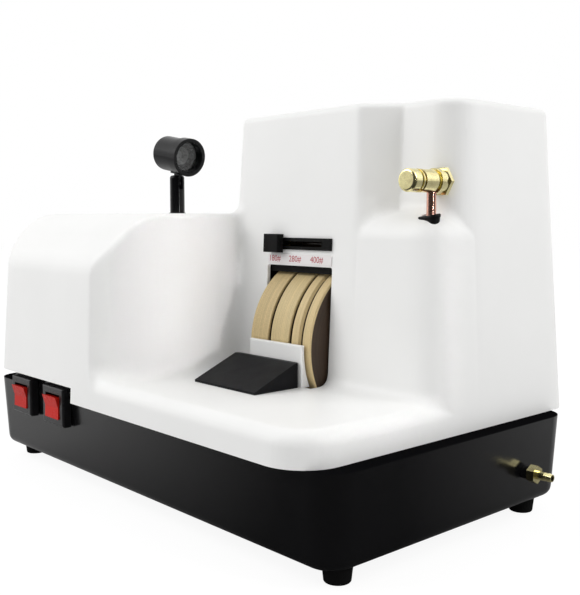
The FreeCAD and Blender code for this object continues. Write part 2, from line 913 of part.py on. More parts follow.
def make_rotor_fan():
    """Cooling fan on the shaft's left end."""
    x = spindle_left_x + overrun
    fan = rod_x(x, x + fan_width, spindle_y, spindle_height, fan_hub_radius)
    blade = box(x, x + fan_width, spindle_y + fan_hub_radius - overrun, spindle_y + fan_radius,
                spindle_height - fan_blade_thickness / 2, spindle_height + fan_blade_thickness / 2)
    disc = rod_x(x + fan_width - fan_blade_thickness, x + fan_width, spindle_y, spindle_height, fan_radius)
    fan = fan.fuse(disc)
    for step in range(fan_blades):
        turned = blade.copy()
        turned.rotate(V(0, spindle_y, spindle_height), V(1, 0, 0), 360 / fan_blades * step)
        fan = fan.fuse(turned)
    return fan.cut(rod_x(x - overrun, x + fan_width + overrun, spindle_y, spindle_height,
                         spindle_radius + running_gap))


def make_motor_cradle():
    """Bent steel cradle under the motor, with a foot each side."""
    x_mid = motor_middle()
    half = cradle_length / 2
    wide = cradle_width / 2
    floor = foot_height + base_wall + platform_height
    plate = box(x_mid - half, x_mid + half, spindle_y - wide, spindle_y + wide, floor, floor + cradle_wall)
    saddle = box(x_mid - half, x_mid + half, spindle_y - wide + cradle_foot, spindle_y + wide - cradle_foot,
                 floor, spindle_height - motor_radius / 2)
    saddle = saddle.cut(rod_x(x_mid - half - overrun, x_mid + half + overrun, spindle_y, spindle_height,
                              motor_radius))
    core = box(x_mid - half + cradle_wall, x_mid + half - cradle_wall,
               spindle_y - wide + cradle_foot + cradle_wall, spindle_y + wide - cradle_foot - cradle_wall,
               floor + cradle_wall, spindle_height)
    cradle = plate.fuse(saddle.cut(core))
    for x, y in motor_bolt_places():
        cradle = cradle.cut(rod_z(floor - overrun, floor + cradle_wall + overrun, x, y,
                                  bolt_radius + loose_gap))
    return cradle


def make_motor_bolts():
    """Four bolts down through the cradle into the platform."""
    bolts = []
    floor = foot_height + base_wall + platform_height
    for x, y in motor_bolt_places():
        head = rod_z(floor + cradle_wall, floor + cradle_wall + bolt_head_height, x, y, bolt_head_radius)
        shank = rod_z(floor - platform_height / 2, floor + cradle_wall + bolt_head_height, x, y, bolt_radius)
        bolts.append(head.fuse(shank))
    return Part.makeCompound(bolts)


def make_run_capacitor():
    """Motor capacitor lying on the base's floor."""
    floor = foot_height + base_wall
    can = rod_x(capacitor_x, capacitor_x + capacitor_length, capacitor_y, floor + capacitor_radius,
                capacitor_radius)
    end = [edge for edge in can.Edges if edge.BoundBox.ZLength > capacitor_radius and edge.BoundBox.XLength < wall]
    can = can.makeFillet(capacitor_edge_round, end)
    for side in (-1, 1):
        tab = box(capacitor_x - bolt_head_radius, capacitor_x + overrun,
                  capacitor_y + side * terminal_screw_radius * 2 - overrun / 2,
                  capacitor_y + side * terminal_screw_radius * 2 + overrun / 2,
                  floor + capacitor_radius - terminal_screw_radius,
                  floor + capacitor_radius + terminal_screw_radius)
        can = can.fuse(tab)
    return can


def make_terminal_block():
    """Mains terminal block beside the inlet."""
    floor = foot_height + base_wall
    x = inlet_x + inlet_width
    y = base_back - base_rim - terminal_width
    block = box(x, x + terminal_length, y - terminal_width, y, floor, floor + terminal_height)
    count = int(terminal_length / terminal_pitch)
    for index in range(count):
        centre_x = x + terminal_pitch * (index + terminal_margin_share)
        well = rod_z(floor + terminal_height / 2, floor + terminal_height + overrun, centre_x,
                     y - terminal_width / 2, terminal_screw_radius)
        block = block.cut(well)
    return block


def hood_ends():
    """Inside faces of the splash hood's two ends."""
    return wheel_left_x - hood_end_gap - flange_width, spindle_end_x() + hood_end_gap


def make_splash_hood():
    """Dark chamber round the wheels: a curved skin and two ends."""
    low_x, high_x = hood_ends()
    inner = wheel_radius + hood_gap
    floor = tray_floor_height + tray_height
    skin = rod_x(low_x - hood_wall, high_x + hood_wall, spindle_y, spindle_height, inner + hood_wall)
    skirt = box(low_x - hood_wall, high_x + hood_wall, spindle_y - inner - hood_wall,
                spindle_y + inner + hood_wall, floor, spindle_height)
    body = skin.fuse(skirt)
    room = rod_x(low_x, high_x, spindle_y, spindle_height, inner)
    room = room.fuse(box(low_x, high_x, spindle_y - inner, spindle_y + inner, floor - overrun,
                         spindle_height))
    hood = body.cut(room)
    front = front_lean(hood_lip_height) + wall + hood_front_gap
    limit = box(low_x - hood_wall * 2, high_x + hood_wall * 2, front, spindle_y + inner * 2,
                floor, spindle_height + inner * 2)
    hood = hood.common(limit)
    lip = box(low_x, high_x, front, front + hood_wall, hood_lip_height, lip_top(front))
    hood = hood.fuse(lip)
    hole = rod_x(low_x - hood_wall * 2, low_x + overrun, spindle_y, spindle_height,
                 spindle_radius + hood_shaft_gap)
    return hood.cut(hole).cut(spray_slot())


def spray_slot():
    """Slot in the hood that the spray nozzle runs along."""
    left = rail_left_x() + knob_length / 2
    half = sleeve_nozzle_radius + overrun
    return box(left - half, left + selector_travel + half, valve_tube_y() - half, valve_tube_y() + half,
               spindle_height, rail_low_height)


def lip_top(front):
    """Where the hood's front lip meets its curved skin."""
    inner = wheel_radius + hood_gap
    across = spindle_y - front - hood_wall
    return spindle_height + math.sqrt(inner * inner - across * across) + hood_wall / 2


def make_water_tray():
    """Open pan under the wheels that gathers the water."""
    low_x, high_x = hood_ends()
    low_x = low_x - hood_wall - tray_wall - loose_gap
    high_x = high_x + hood_wall + tray_wall + loose_gap
    floor = tray_floor_height
    pan = box(low_x, high_x, tray_front_y, tray_back_y, floor, floor + tray_height)
    room = box(low_x + tray_wall, high_x - tray_wall, tray_front_y + tray_wall, tray_back_y - tray_wall,
               floor + tray_wall, floor + tray_height + overrun)
    pan = pan.cut(room)
    pan = pan.cut(rod_x(high_x - tray_wall * 2, high_x + overrun, drain_y, drain_height, elbow_radius))
    for x in (low_x + tray_leg_inset, high_x - tray_leg_inset):
        for y in (tray_front_y + tray_leg_inset, tray_back_y - tray_leg_inset):
            pan = pan.fuse(rod_z(foot_height + base_wall, floor, x, y, tray_leg_radius))
    return pan


def drain_start_x():
    """Where the drain pipe leaves the tray."""
    return hood_ends()[1] + hood_wall + loose_gap


def make_drain_pipe():
    """Plain pipe from the tray to the bushing."""
    end = base_side_at_drain - bushing_sink
    pipe = rod_x(drain_start_x(), end, drain_y, drain_height, elbow_radius)
    return pipe.cut(rod_x(drain_start_x() - overrun, end + overrun, drain_y, drain_height, elbow_bore))


def make_drain_bushing():
    """Black bushing in the base's wall round the outlet."""
    start = base_side_at_drain - bushing_sink
    bushing = rod_x(start, start + bushing_length, drain_y, drain_height, bushing_radius)
    return bushing.cut(rod_x(start - overrun, start + bushing_length + overrun, drain_y, drain_height,
                             barb_shank_radius))


def make_drain_barb():
    """Brass hose nipple: its shank, its hexagon, a plain land and two ribs."""
    start = base_side_at_drain - bushing_sink
    face = start + bushing_length
    land = face + hex_length
    end = land + barb_length
    hex_flats = hex_across * math.cos(math.pi / 6)
    barb = rod_x(start, face, drain_y, drain_height, barb_shank_radius)
    barb = barb.fuse(hexagon_bar(V(face, drain_y, drain_height), V(1, 0, 0), hex_flats, hex_length))
    barb = barb.fuse(rod_x(land, land + barb_land, drain_y, drain_height, barb_radius))
    for index in range(int((barb_length - barb_land) / barb_pitch)):
        place = V(land + barb_land + index * barb_pitch, drain_y, drain_height)
        barb = barb.fuse(Part.makeCone(barb_radius, barb_radius - barb_rib, barb_pitch, place, V(1, 0, 0)))
    return barb.cut(rod_x(start - overrun, end + overrun, drain_y, drain_height, barb_bore))


def make_water_guard():
    """White block in front of the wheels, hollowed to clear them."""
    block = box(guard_left_x, guard_right_x, guard_front_y, guard_front_y + guard_depth, table_height,
                guard_top_height)
    edges = [edge for edge in block.Edges if edge.BoundBox.YMax < guard_front_y + running_gap
             and edge.BoundBox.ZMin > table_height - running_gap and edge.BoundBox.ZMax > table_height + overrun]
    block = block.makeFillet(guard_edge_round, edges)
    clear = rod_x(guard_left_x - overrun, guard_right_x + overrun, spindle_y, spindle_height,
                  wheel_radius + guard_wheel_gap)
    return block.cut(clear)


def make_hand_rest():
    """Black wedge that the hands rest on, in front of the guard."""
    top = table_height + rest_back_height
    points = [V(rest_left_x, rest_front_y, table_height), V(rest_left_x, guard_front_y, table_height)]
    points += [V(rest_left_x, guard_front_y, top), V(rest_left_x, guard_front_y - rest_top_depth, top)]
    points += [V(rest_left_x, rest_front_y, table_height + rest_lip_height)]
    wedge = Part.Face(Part.makePolygon(points + [points[0]])).extrude(V(rest_right_x - rest_left_x, 0, 0))
    edges = [edge for edge in wedge.Edges if edge.BoundBox.ZLength > rest_lip_height * 2
             and edge.BoundBox.YLength < running_gap]
    return wedge.makeFillet(rest_corner_round, edges)


def rail_left_x():
    """Left end of the selector's rail."""
    return plate_left_x + rail_start


def rail_slot(z_grow, y_low, y_high):
    """The slot along the rail, as the space that its stem runs in."""
    left = rail_left_x() + knob_length / 2 - stem_length / 2
    middle = rail_low_height + rail_height / 2
    return box(left - z_grow, left + selector_travel + stem_length + z_grow, y_low, y_high,
               middle - stem_height / 2 - z_grow, middle + stem_height / 2 + z_grow)


def make_selector_rail():
    """Black rail with a long slot over the window."""
    front = front_lean(rail_low_height)
    rail = box(rail_left_x(), rail_left_x() + rail_length, front - rail_proud, front, rail_low_height,
               rail_low_height + rail_height)
    inset = rail_tongue_inset
    tongue = box(rail_left_x() + inset, rail_left_x() + rail_length - inset, front - overrun,
                 front + rail_sink,
                 rail_low_height + inset, rail_low_height + rail_height - inset)
    rail = lean_with_front(rail.fuse(tongue), rail_low_height)
    return rail.cut(rail_slot(loose_gap * 2, front - wall * 2, front + wall * 2))


def rail_opening():
    """Opening in the cover behind the rail."""
    front = front_lean(rail_low_height)
    inset = rail_tongue_inset
    opening = box(rail_left_x() + inset, rail_left_x() + rail_length - inset, front - overrun,
                  front + wall + overrun, rail_low_height + inset, rail_low_height + rail_height - inset)
    return lean_with_front(opening, rail_low_height)


def make_selector_knob():
    """Square slider knob with a grip rib, and its stem through the slot."""
    middle = rail_low_height + rail_height / 2
    front = front_lean(rail_low_height)
    face = front - rail_proud - loose_gap
    left = rail_left_x()
    knob = box(left, left + knob_length, face - knob_depth, face, middle - knob_height / 2,
               middle + knob_height / 2)
    edges = [edge for edge in knob.Edges if edge.BoundBox.YMax < face - knob_depth + running_gap]
    knob = knob.makeFillet(knob_edge_round, edges)
    knob = lean_with_front(knob, middle)
    stem = box(left + knob_length / 2 - stem_length / 2, left + knob_length / 2 + stem_length / 2,
               face - knob_depth / 2, valve_tube_y() - sleeve_radius + wall / 2, middle - stem_height / 2,
               middle + stem_height / 2)
    sleeve = rod_x(left, left + knob_length, valve_tube_y(), middle, sleeve_radius)
    return knob.fuse(stem).cut(sleeve)


def make_spray_sleeve():
    """Nozzle sleeve on the supply tube, moved by the selector."""
    middle = rail_low_height + rail_height / 2
    left = rail_left_x() + (knob_length - sleeve_length) / 2
    sleeve = rod_x(left, left + sleeve_length, valve_tube_y(), middle, sleeve_radius)
    nozzle = rod_z(middle - sleeve_radius - sleeve_nozzle_length, middle, left + sleeve_length / 2,
                   valve_tube_y(),
                   sleeve_nozzle_radius)
    bore = rod_x(left - overrun, left + sleeve_length + overrun, valve_tube_y(), middle,
                 tube_radius + running_gap)
    return sleeve.fuse(nozzle).cut(bore)


def make_number_plate():
    """Thin strip under the rail that names the wheels."""
    low = window_top_height + overrun
    front = front_lean(low)
    plate = box(plate_left_x, plate_right_x, front - plate_thickness, front, low, low + plate_height)
    return lean_with_front(plate, low)


def bay_wall_front():
    """Where the bay's back wall lies at the valve's height."""
    return bay_wall_y + (valve_height - seam_height) * shell_draft_share


def valve_back():
    """Back end of the valve's shank, inside the tall block."""
    return bay_wall_front() + valve_shank_length


def make_valve_nut():
    """Thin lock nut against the bay's back wall, tapered to sit on its lean."""
    wall_y = bay_wall_front() - valve_nut_across / 2 * shell_draft_share
    nut = hexagon_bar(V(valve_x, wall_y, valve_height), V(0, -1, 0), valve_nut_across, valve_nut_width)
    return nut.cut(rod_y(wall_y - valve_nut_width - overrun, wall_y + overrun, valve_x, valve_height,
                         valve_shank_radius + running_gap))


def valve_face_y():
    """Front of the lock nut, where the valve's shoulder starts."""
    return bay_wall_front() - valve_nut_across / 2 * shell_draft_share - valve_nut_width


def valve_body_front():
    """Front of the valve's body, without its gland."""
    return valve_face_y() - valve_shoulder_length - valve_neck_length - valve_body_length


def make_valve_body():
    """Brass valve body: shank, shoulder, neck, body and gland."""
    y = valve_face_y()
    body = rod_y(y - overrun, valve_back(), valve_x, valve_height, valve_shank_radius)
    body = body.fuse(rod_y(y - valve_shoulder_length, y, valve_x, valve_height, valve_shoulder_radius))
    y = y - valve_shoulder_length
    body = body.fuse(rod_y(y - valve_neck_length, y, valve_x, valve_height, valve_neck_radius))
    y = y - valve_neck_length
    body = body.fuse(rod_y(valve_body_front(), y, valve_x, valve_height, valve_body_radius))
    body = body.fuse(rod_y(valve_body_front() - valve_gland_length, valve_body_front(), valve_x,
                           valve_height,
                           valve_gland_radius))
    body = body.cut(rod_y(valve_body_front() + valve_stem_length, valve_back() + overrun, valve_x,
                          valve_height,
                          valve_bore))
    body = body.cut(rod_y(valve_body_front() - valve_gland_length - overrun,
                          valve_body_front() + valve_stem_length, valve_x, valve_height,
                          valve_stem_radius + running_gap))
    socket = rod_z(valve_height - valve_shoulder_radius - overrun,
                   valve_height - valve_neck_radius + tube_socket,
                   valve_x, valve_tube_y(), tube_radius)
    return body.cut(socket)


def valve_tube_y():
    """Where the supply tube leaves the valve's body."""
    return valve_face_y() - valve_shoulder_length - valve_neck_length / 2


def make_valve_knob():
    """Turned knob with a groove, and its stem in the valve's body."""
    back = valve_body_front() - valve_gland_length - loose_gap
    front = back - valve_knob_length
    knob = rod_y(front, back, valve_x, valve_height, valve_knob_radius)
    edges = [edge for edge in knob.Edges if edge.BoundBox.YMax < front + running_gap]
    knob = knob.makeFillet(valve_knob_groove, edges)
    band = rod_y(back - valve_knob_groove * 1.5, back - valve_knob_groove / 2, valve_x, valve_height,
                 valve_knob_radius + overrun)
    band = band.cut(rod_y(front, back, valve_x, valve_height, valve_knob_waist))
    stem = rod_y(back, valve_body_front() + valve_stem_length - loose_gap, valve_x, valve_height,
                 valve_stem_radius)
    return knob.cut(band).fuse(stem)


def supply_path(radius):
    """A round bar along the supply tube's path: down through the column, then left over the wheels."""
    middle = rail_low_height + rail_height / 2
    top = valve_height - valve_neck_radius + tube_socket
    bend = tube_bend
    drop = V(valve_x, valve_tube_y(), top)
    drop_end = V(valve_x, valve_tube_y(), middle + bend)
    turn_end = V(valve_x - bend, valve_tube_y(), middle)
    turn_middle = V(valve_x - bend + bend * math.cos(math.pi / 4), valve_tube_y(),
                    middle + bend - bend * math.sin(math.pi / 4))
    far = V(tube_end_x, valve_tube_y(), middle)
    edges = [Part.LineSegment(drop, drop_end).toShape(), Part.Arc(drop_end, turn_middle, turn_end).toShape()]
    edges.append(Part.LineSegment(turn_end, far).toShape())
    path = Part.Wire(edges)
    ring = Part.Wire(Part.makeCircle(radius, drop, V(0, 0, -1)))
    return path.makePipeShell([ring], True, False)


def make_supply_tube():
    """Copper tube from the valve to the spray line, plugged at its far end."""
    middle = rail_low_height + rail_height / 2
    outer = supply_path(tube_radius)
    inner = supply_path(tube_bore)
    plug = rod_x(tube_end_x, tube_end_x + tube_plug, valve_tube_y(), middle, tube_radius)
    return outer.cut(inner).fuse(plug)


def grommet_form(length, width, z_low, z_high):
    """An oval bar standing where the tube passes the column's top."""
    straight = length - width
    y = valve_tube_y()
    bar = box(valve_x - straight / 2, valve_x + straight / 2, y - width / 2, y + width / 2, z_low, z_high)
    for side in (-1, 1):
        bar = bar.fuse(rod_z(z_low, z_high, valve_x + side * straight / 2, y, width / 2))
    return bar.removeSplitter()


def grommet_opening():
    """Oval hole in the column's top."""
    return grommet_form(grommet_length - grommet_flange * 2, grommet_width - grommet_flange * 2,
                        left_top_height - column_rim_round, left_top_height + overrun)


def make_tube_grommet():
    """Black oval grommet round the supply tube."""
    low = left_top_height - column_rim_round
    high = left_top_height + grommet_proud + overrun
    skin = column_block(-grommet_proud, seam_height)
    flange = grommet_form(grommet_length, grommet_width, low, high).common(skin)
    flange = flange.cut(column_block(-running_gap, seam_height))
    neck = grommet_form(grommet_length - grommet_flange * 2, grommet_width - grommet_flange * 2, low, high)
    neck = neck.common(skin).cut(column_block(wall, seam_height))
    bore = rod_z(low - overrun, high, valve_x, valve_tube_y(), tube_radius + running_gap)
    return flange.fuse(neck).cut(bore)


def tank_outline():
    """The tank's plan: the tall block behind the bay."""
    front = bay_wall_y + tank_front_gap
    points = [V(tall_left_x, front, 0), V(half_shell, front, 0)]
    points += [V(half_shell, shell_back, 0), V(tall_left_x, shell_back, 0)]
    return points, [tank_corner] * 2 + [shell_back_corner] * 2


def tank_shelf():
    """Moulded frame inside the cover that carries the tank's floor."""
    points, radii = tank_outline()
    low = tank_floor_height - tank_shelf_thickness
    outside = drafted_block(points, radii, low, tank_floor_height, wall / 2)
    inside = drafted_block(points, radii, low - overrun, tank_floor_height + overrun,
                           wall + tank_shelf_width)
    return outside.cut(inside)


def make_water_tank():
    """Open tank in the tall block, behind the bay and above the wheels."""
    points, radii = tank_outline()
    top = tall_top_height - cap_height - wall * 2 - loose_gap
    inset = wall + tank_gap
    tank = drafted_block(points, radii, tank_floor_height, top, inset)
    room = drafted_block(points, radii, tank_floor_height + tank_wall, top + overrun, inset + tank_wall)
    outlet = rod_y(bay_wall_y, valve_back() + overrun, valve_x, valve_height,
                   valve_shank_radius + running_gap)
    return tank.cut(room).cut(outlet)


def make_tank_cap():
    """Filler cap, flush in the tall block's top, with a grip rib and a plug."""
    top = tall_top_height
    disc = rod_z(top - cap_height, top - cap_rib_height, cap_x, cap_y, cap_radius)
    rib = box(cap_x - cap_radius * 0.8, cap_x + cap_radius * 0.8, cap_y - cap_rib_width / 2,
              cap_y + cap_rib_width / 2, top - cap_rib_height - overrun, top)
    plug = rod_z(top - cap_height - cap_plug_length, top - cap_height, cap_x, cap_y, cap_plug_radius)
    return disc.fuse(rib).fuse(plug)


def bezel_box(right_x):
    """Middle of a switch in X and Z, and the base wall's face behind it."""
    middle_x = right_x - bezel_width / 2
    middle_z = bezel_top_height - bezel_height / 2
    face_y = -base_front
    return middle_x, middle_z, face_y


def switch_opening(right_x):
    """Opening in the base's front wall for a switch."""
    middle_x, middle_z, face_y = bezel_box(right_x)
    half_x = bezel_width / 2 - bezel_rim / 2
    half_z = bezel_height / 2 - bezel_rim / 2
    return box(middle_x - half_x, middle_x + half_x, face_y - overrun, face_y + base_rim + overrun,
               middle_z - half_z, middle_z + half_z)


def make_switch_body(right_x):
    """Switch bezel with its body behind the wall."""
    middle_x, middle_z, face_y = bezel_box(right_x)
    front = face_y - bezel_proud
    bezel = box(middle_x - bezel_width / 2, middle_x + bezel_width / 2, front, face_y,
                middle_z - bezel_height / 2, middle_z + bezel_height / 2)
    edges = [edge for edge in bezel.Edges if edge.BoundBox.YMax < front + running_gap]
    bezel = bezel.makeFillet(bezel_slope_round, edges)
    half_x = bezel_width / 2 - bezel_rim / 2 - loose_gap
    half_z = bezel_height / 2 - bezel_rim / 2 - loose_gap
    body = box(middle_x - half_x, middle_x + half_x, face_y, face_y + switch_body_depth,
               middle_z - half_z, middle_z + half_z)
    shape = bezel.fuse(body)
    cup_x = bezel_width / 2 - bezel_rim
    cup_z = bezel_height / 2 - bezel_rim
    cup = box(middle_x - cup_x, middle_x + cup_x, front - overrun,
              face_y + switch_body_depth - switch_body_wall,
              middle_z - cup_z, middle_z + cup_z)
    pins = rod_x(middle_x - cup_x - rocker_pin_length - loose_gap,
                 middle_x + cup_x + rocker_pin_length + loose_gap,
                 rocker_axis_y(), middle_z, rocker_pin_radius + running_gap)
    return shape.cut(cup).cut(pins)


def rocker_axis_y():
    """Depth of the rocker's pivot behind the bezel's front."""
    return -base_front - bezel_proud + rocker_drop


def make_rocker(right_x):
    """Red rocker: two faces that meet in a shallow bend over its pivot, in the off position."""
    middle_x, middle_z, face_y = bezel_box(right_x)
    half_x = bezel_width / 2 - bezel_rim - rocker_gap
    half_z = bezel_height / 2 - bezel_rim - rocker_gap
    front = face_y - bezel_proud - rocker_proud
    slope = math.tan(math.radians(rocker_bend_degrees)) * half_z
    back = rocker_axis_y() + rocker_pin_radius * 2
    narrow = half_z - rocker_taper
    points = [V(0, front - slope / 2, half_z), V(0, front + slope / 2, 0), V(0, front - slope / 2, -half_z)]
    points += [V(0, back, -narrow), V(0, back, narrow)]
    lift = V(middle_x - half_x, 0, middle_z)
    wire = Part.makePolygon([point + lift for point in points + [points[0]]])
    rocker = Part.Face(wire).extrude(V(half_x * 2, 0, 0))
    sweep = Part.makeCylinder(half_z + rocker_drop, half_x * 2, V(middle_x - half_x, rocker_axis_y(),
                                                                  middle_z),
                              V(1, 0, 0))
    pins = rod_x(middle_x - half_x - rocker_gap - rocker_pin_length, middle_x + half_x + rocker_gap
                 + rocker_pin_length, rocker_axis_y(), middle_z, rocker_pin_radius)
    rocker = rocker.common(sweep).fuse(pins)
    rocker.rotate(V(middle_x, rocker_axis_y(), middle_z), V(1, 0, 0), rocker_throw_degrees / 2)
    return rocker


def make_power_inlet():
    """Appliance inlet with its flange, cup and three pins."""
    face = base_back - (seam_height - inlet_height) * base_draft_share
    flange = box(inlet_x - inlet_width / 2, inlet_x + inlet_width / 2, face, face + inlet_proud,
                 inlet_height - inlet_tall / 2, inlet_height + inlet_tall / 2)
    edges = [edge for edge in flange.Edges if edge.BoundBox.YLength > inlet_proud - running_gap]
    flange = flange.makeFillet(inlet_proud, edges)
    flange.rotate(V(0, face, inlet_height), V(1, 0, 0), -math.degrees(math.atan(base_draft_share)))
    body = box(inlet_x - inlet_body_width / 2 + loose_gap, inlet_x + inlet_body_width / 2 - loose_gap,
               face - inlet_body_depth, face + inlet_proud / 2,
               inlet_height - inlet_body_tall / 2 + loose_gap,
               inlet_height + inlet_body_tall / 2 - loose_gap)
    half_x = inlet_body_width / 2 - inlet_cup_wall
    half_z = inlet_body_tall / 2 - inlet_cup_wall
    cup = box(inlet_x - half_x, inlet_x + half_x, face + inlet_proud - inlet_cup_depth,
              face + inlet_proud + overrun * 2, inlet_height - half_z, inlet_height + half_z)
    inlet = flange.fuse(body).cut(cup)
    for index in (-1, 0, 1):
        lift = inlet_pin_drop / 2 if index == 0 else -inlet_pin_drop / 2
        x = inlet_x + index * inlet_pin_pitch
        pin = box(x - inlet_pin_width / 2, x + inlet_pin_width / 2,
                  face + inlet_proud - inlet_cup_depth - overrun,
                  face - overrun, inlet_height + lift - inlet_pin_tall / 2,
                  inlet_height + lift + inlet_pin_tall / 2)
        inlet = inlet.fuse(pin)
    return inlet


def make_lamp_collar():
    """Black ring on the left block's top under the lamp post."""
    ring = rod_z(left_top_height, left_top_height + lamp_collar_height, lamp_x, lamp_y, lamp_collar_radius)
    ring = round_level_edges(ring, left_top_height + lamp_collar_height, lamp_collar_height / 2)
    bush = rod_z(left_top_height - wall * 2, left_top_height + overrun, lamp_x, lamp_y, lamp_spigot_radius)
    bore = rod_z(left_top_height - wall * 3, left_top_height + lamp_collar_height + overrun, lamp_x, lamp_y,
                 lamp_bore_radius + running_gap)
    return ring.fuse(bush).cut(bore)


def make_lamp_post():
    """Lamp post with a spigot below and a slotted, rounded top."""
    low = left_top_height + lamp_collar_height + running_gap
    post = rod_z(low, lamp_post_top, lamp_x, lamp_y, lamp_post_radius)
    post = round_level_edges(post, lamp_post_top, lamp_post_round)
    spigot = rod_z(left_top_height - lamp_spigot_length, low + overrun, lamp_x, lamp_y, lamp_bore_radius)
    keeper = rod_z(left_top_height - lamp_spigot_length, left_top_height - wall * 2 - loose_gap, lamp_x,
                   lamp_y,
                   lamp_spigot_radius + lamp_post_round)
    slot = box(lamp_x - lamp_post_radius - overrun, lamp_x + lamp_post_radius + overrun,
               lamp_y - lamp_slot_width / 2, lamp_y + lamp_slot_width / 2, lamp_post_top - lamp_slot_depth,
               lamp_post_top + overrun)
    pivot = rod_y(lamp_y - lamp_slot_width, lamp_y + lamp_slot_width, lamp_x, lamp_pivot_height,
                  lamp_pivot_radius)
    return post.fuse(spigot).fuse(keeper).cut(slot).fuse(pivot)


def make_lamp_knuckle():
    """Flat lug in the post's slot, rising to the head's clamp."""
    half = lamp_slot_width / 2 - loose_gap
    lug = rod_y(lamp_y - half, lamp_y + half, lamp_x, lamp_pivot_height, lamp_lug_radius)
    neck = box(lamp_x - lamp_lug_radius * lamp_neck_share, lamp_x + lamp_lug_radius * lamp_neck_share,
               lamp_y - half, lamp_y + half,
               lamp_pivot_height, lamp_head_height)
    pad_low = lamp_head_height - lamp_head_radius - lamp_pad_drop
    pad = box(lamp_x - lamp_lug_radius * lamp_pad_share, lamp_x + lamp_lug_radius * lamp_pad_share,
              lamp_y - lamp_lug_radius,
              lamp_y + lamp_lug_radius, pad_low, lamp_head_height)
    head = rod_x(lamp_x - lamp_head_length, lamp_x + lamp_head_length, lamp_y, lamp_head_height,
                 lamp_head_radius)
    pivot = rod_y(lamp_y - lamp_slot_width, lamp_y + lamp_slot_width, lamp_x, lamp_pivot_height,
                  lamp_pivot_radius + running_gap)
    return lug.fuse(neck).fuse(pad).cut(head).cut(pivot)


def lamp_head_back():
    """Back end of the lamp's head."""
    return lamp_x - lamp_head_length / 2 + lamp_head_shift


def make_lamp_head():
    """Round lamp head, open to the right, with a ledge for its lens."""
    back = lamp_head_back()
    head = rod_x(back, back + lamp_head_length, lamp_y, lamp_head_height, lamp_head_radius)
    edges = [edge for edge in head.Edges if edge.BoundBox.XMax < back + running_gap]
    head = head.makeFillet(lamp_back_round, edges)
    front = back + lamp_head_length
    head = head.fuse(rod_x(front - lamp_bezel_length, front, lamp_y, lamp_head_height, lamp_bezel_radius))
    inner = lamp_head_radius - lamp_head_wall
    room = rod_x(back + lamp_back_wall, back + lamp_head_length + overrun, lamp_y, lamp_head_height,
                 inner - lamp_ledge)
    mouth = rod_x(lamp_lens_x(), back + lamp_head_length + overrun, lamp_y, lamp_head_height, inner)
    return head.cut(room).cut(mouth)


def at_rest_tilt(shape):
    """The lamp's upper pieces, turned a little down about their pivot."""
    turned = shape.copy()
    turned.rotate(V(lamp_x, lamp_y, lamp_pivot_height), V(0, 1, 0), lamp_rest_tilt)
    return turned


def lamp_lens_x():
    """Back face of the lamp's lens."""
    return lamp_head_back() + lamp_head_length - lamp_lens_setback - lamp_lens_thickness


def make_lamp_lens():
    """Clear disc set back in the head's mouth."""
    return rod_x(lamp_lens_x(), lamp_lens_x() + lamp_lens_thickness, lamp_y, lamp_head_height,
                 lamp_head_radius - lamp_head_wall)


def make_lamp_led():
    """Light source: board, chip and reflector cup behind the lens."""
    inner = lamp_head_radius - lamp_head_wall - lamp_ledge
    start = lamp_lens_x() - lamp_cup_depth
    board = rod_x(start - lamp_board_thickness, start, lamp_y, lamp_head_height, inner)
    chip = rod_x(start, start + lamp_chip_height, lamp_y, lamp_head_height, lamp_chip_radius)
    outer = Part.makeCylinder(inner, lamp_cup_depth, V(start, lamp_y, lamp_head_height), V(1, 0, 0))
    room = Part.makeCone(lamp_chip_radius + overrun, inner - overrun / 2, lamp_cup_depth,
                         V(start, lamp_y, lamp_head_height), V(1, 0, 0))
    spacer = Part.makeCylinder(inner, lamp_board_thickness, V(lamp_head_back() + lamp_back_wall, lamp_y,
                                                              lamp_head_height), V(1, 0, 0))
    stem = rod_x(lamp_head_back() + lamp_back_wall, start, lamp_y, lamp_head_height, lamp_chip_radius)
    return board.fuse([chip, outer.cut(room), spacer, stem])


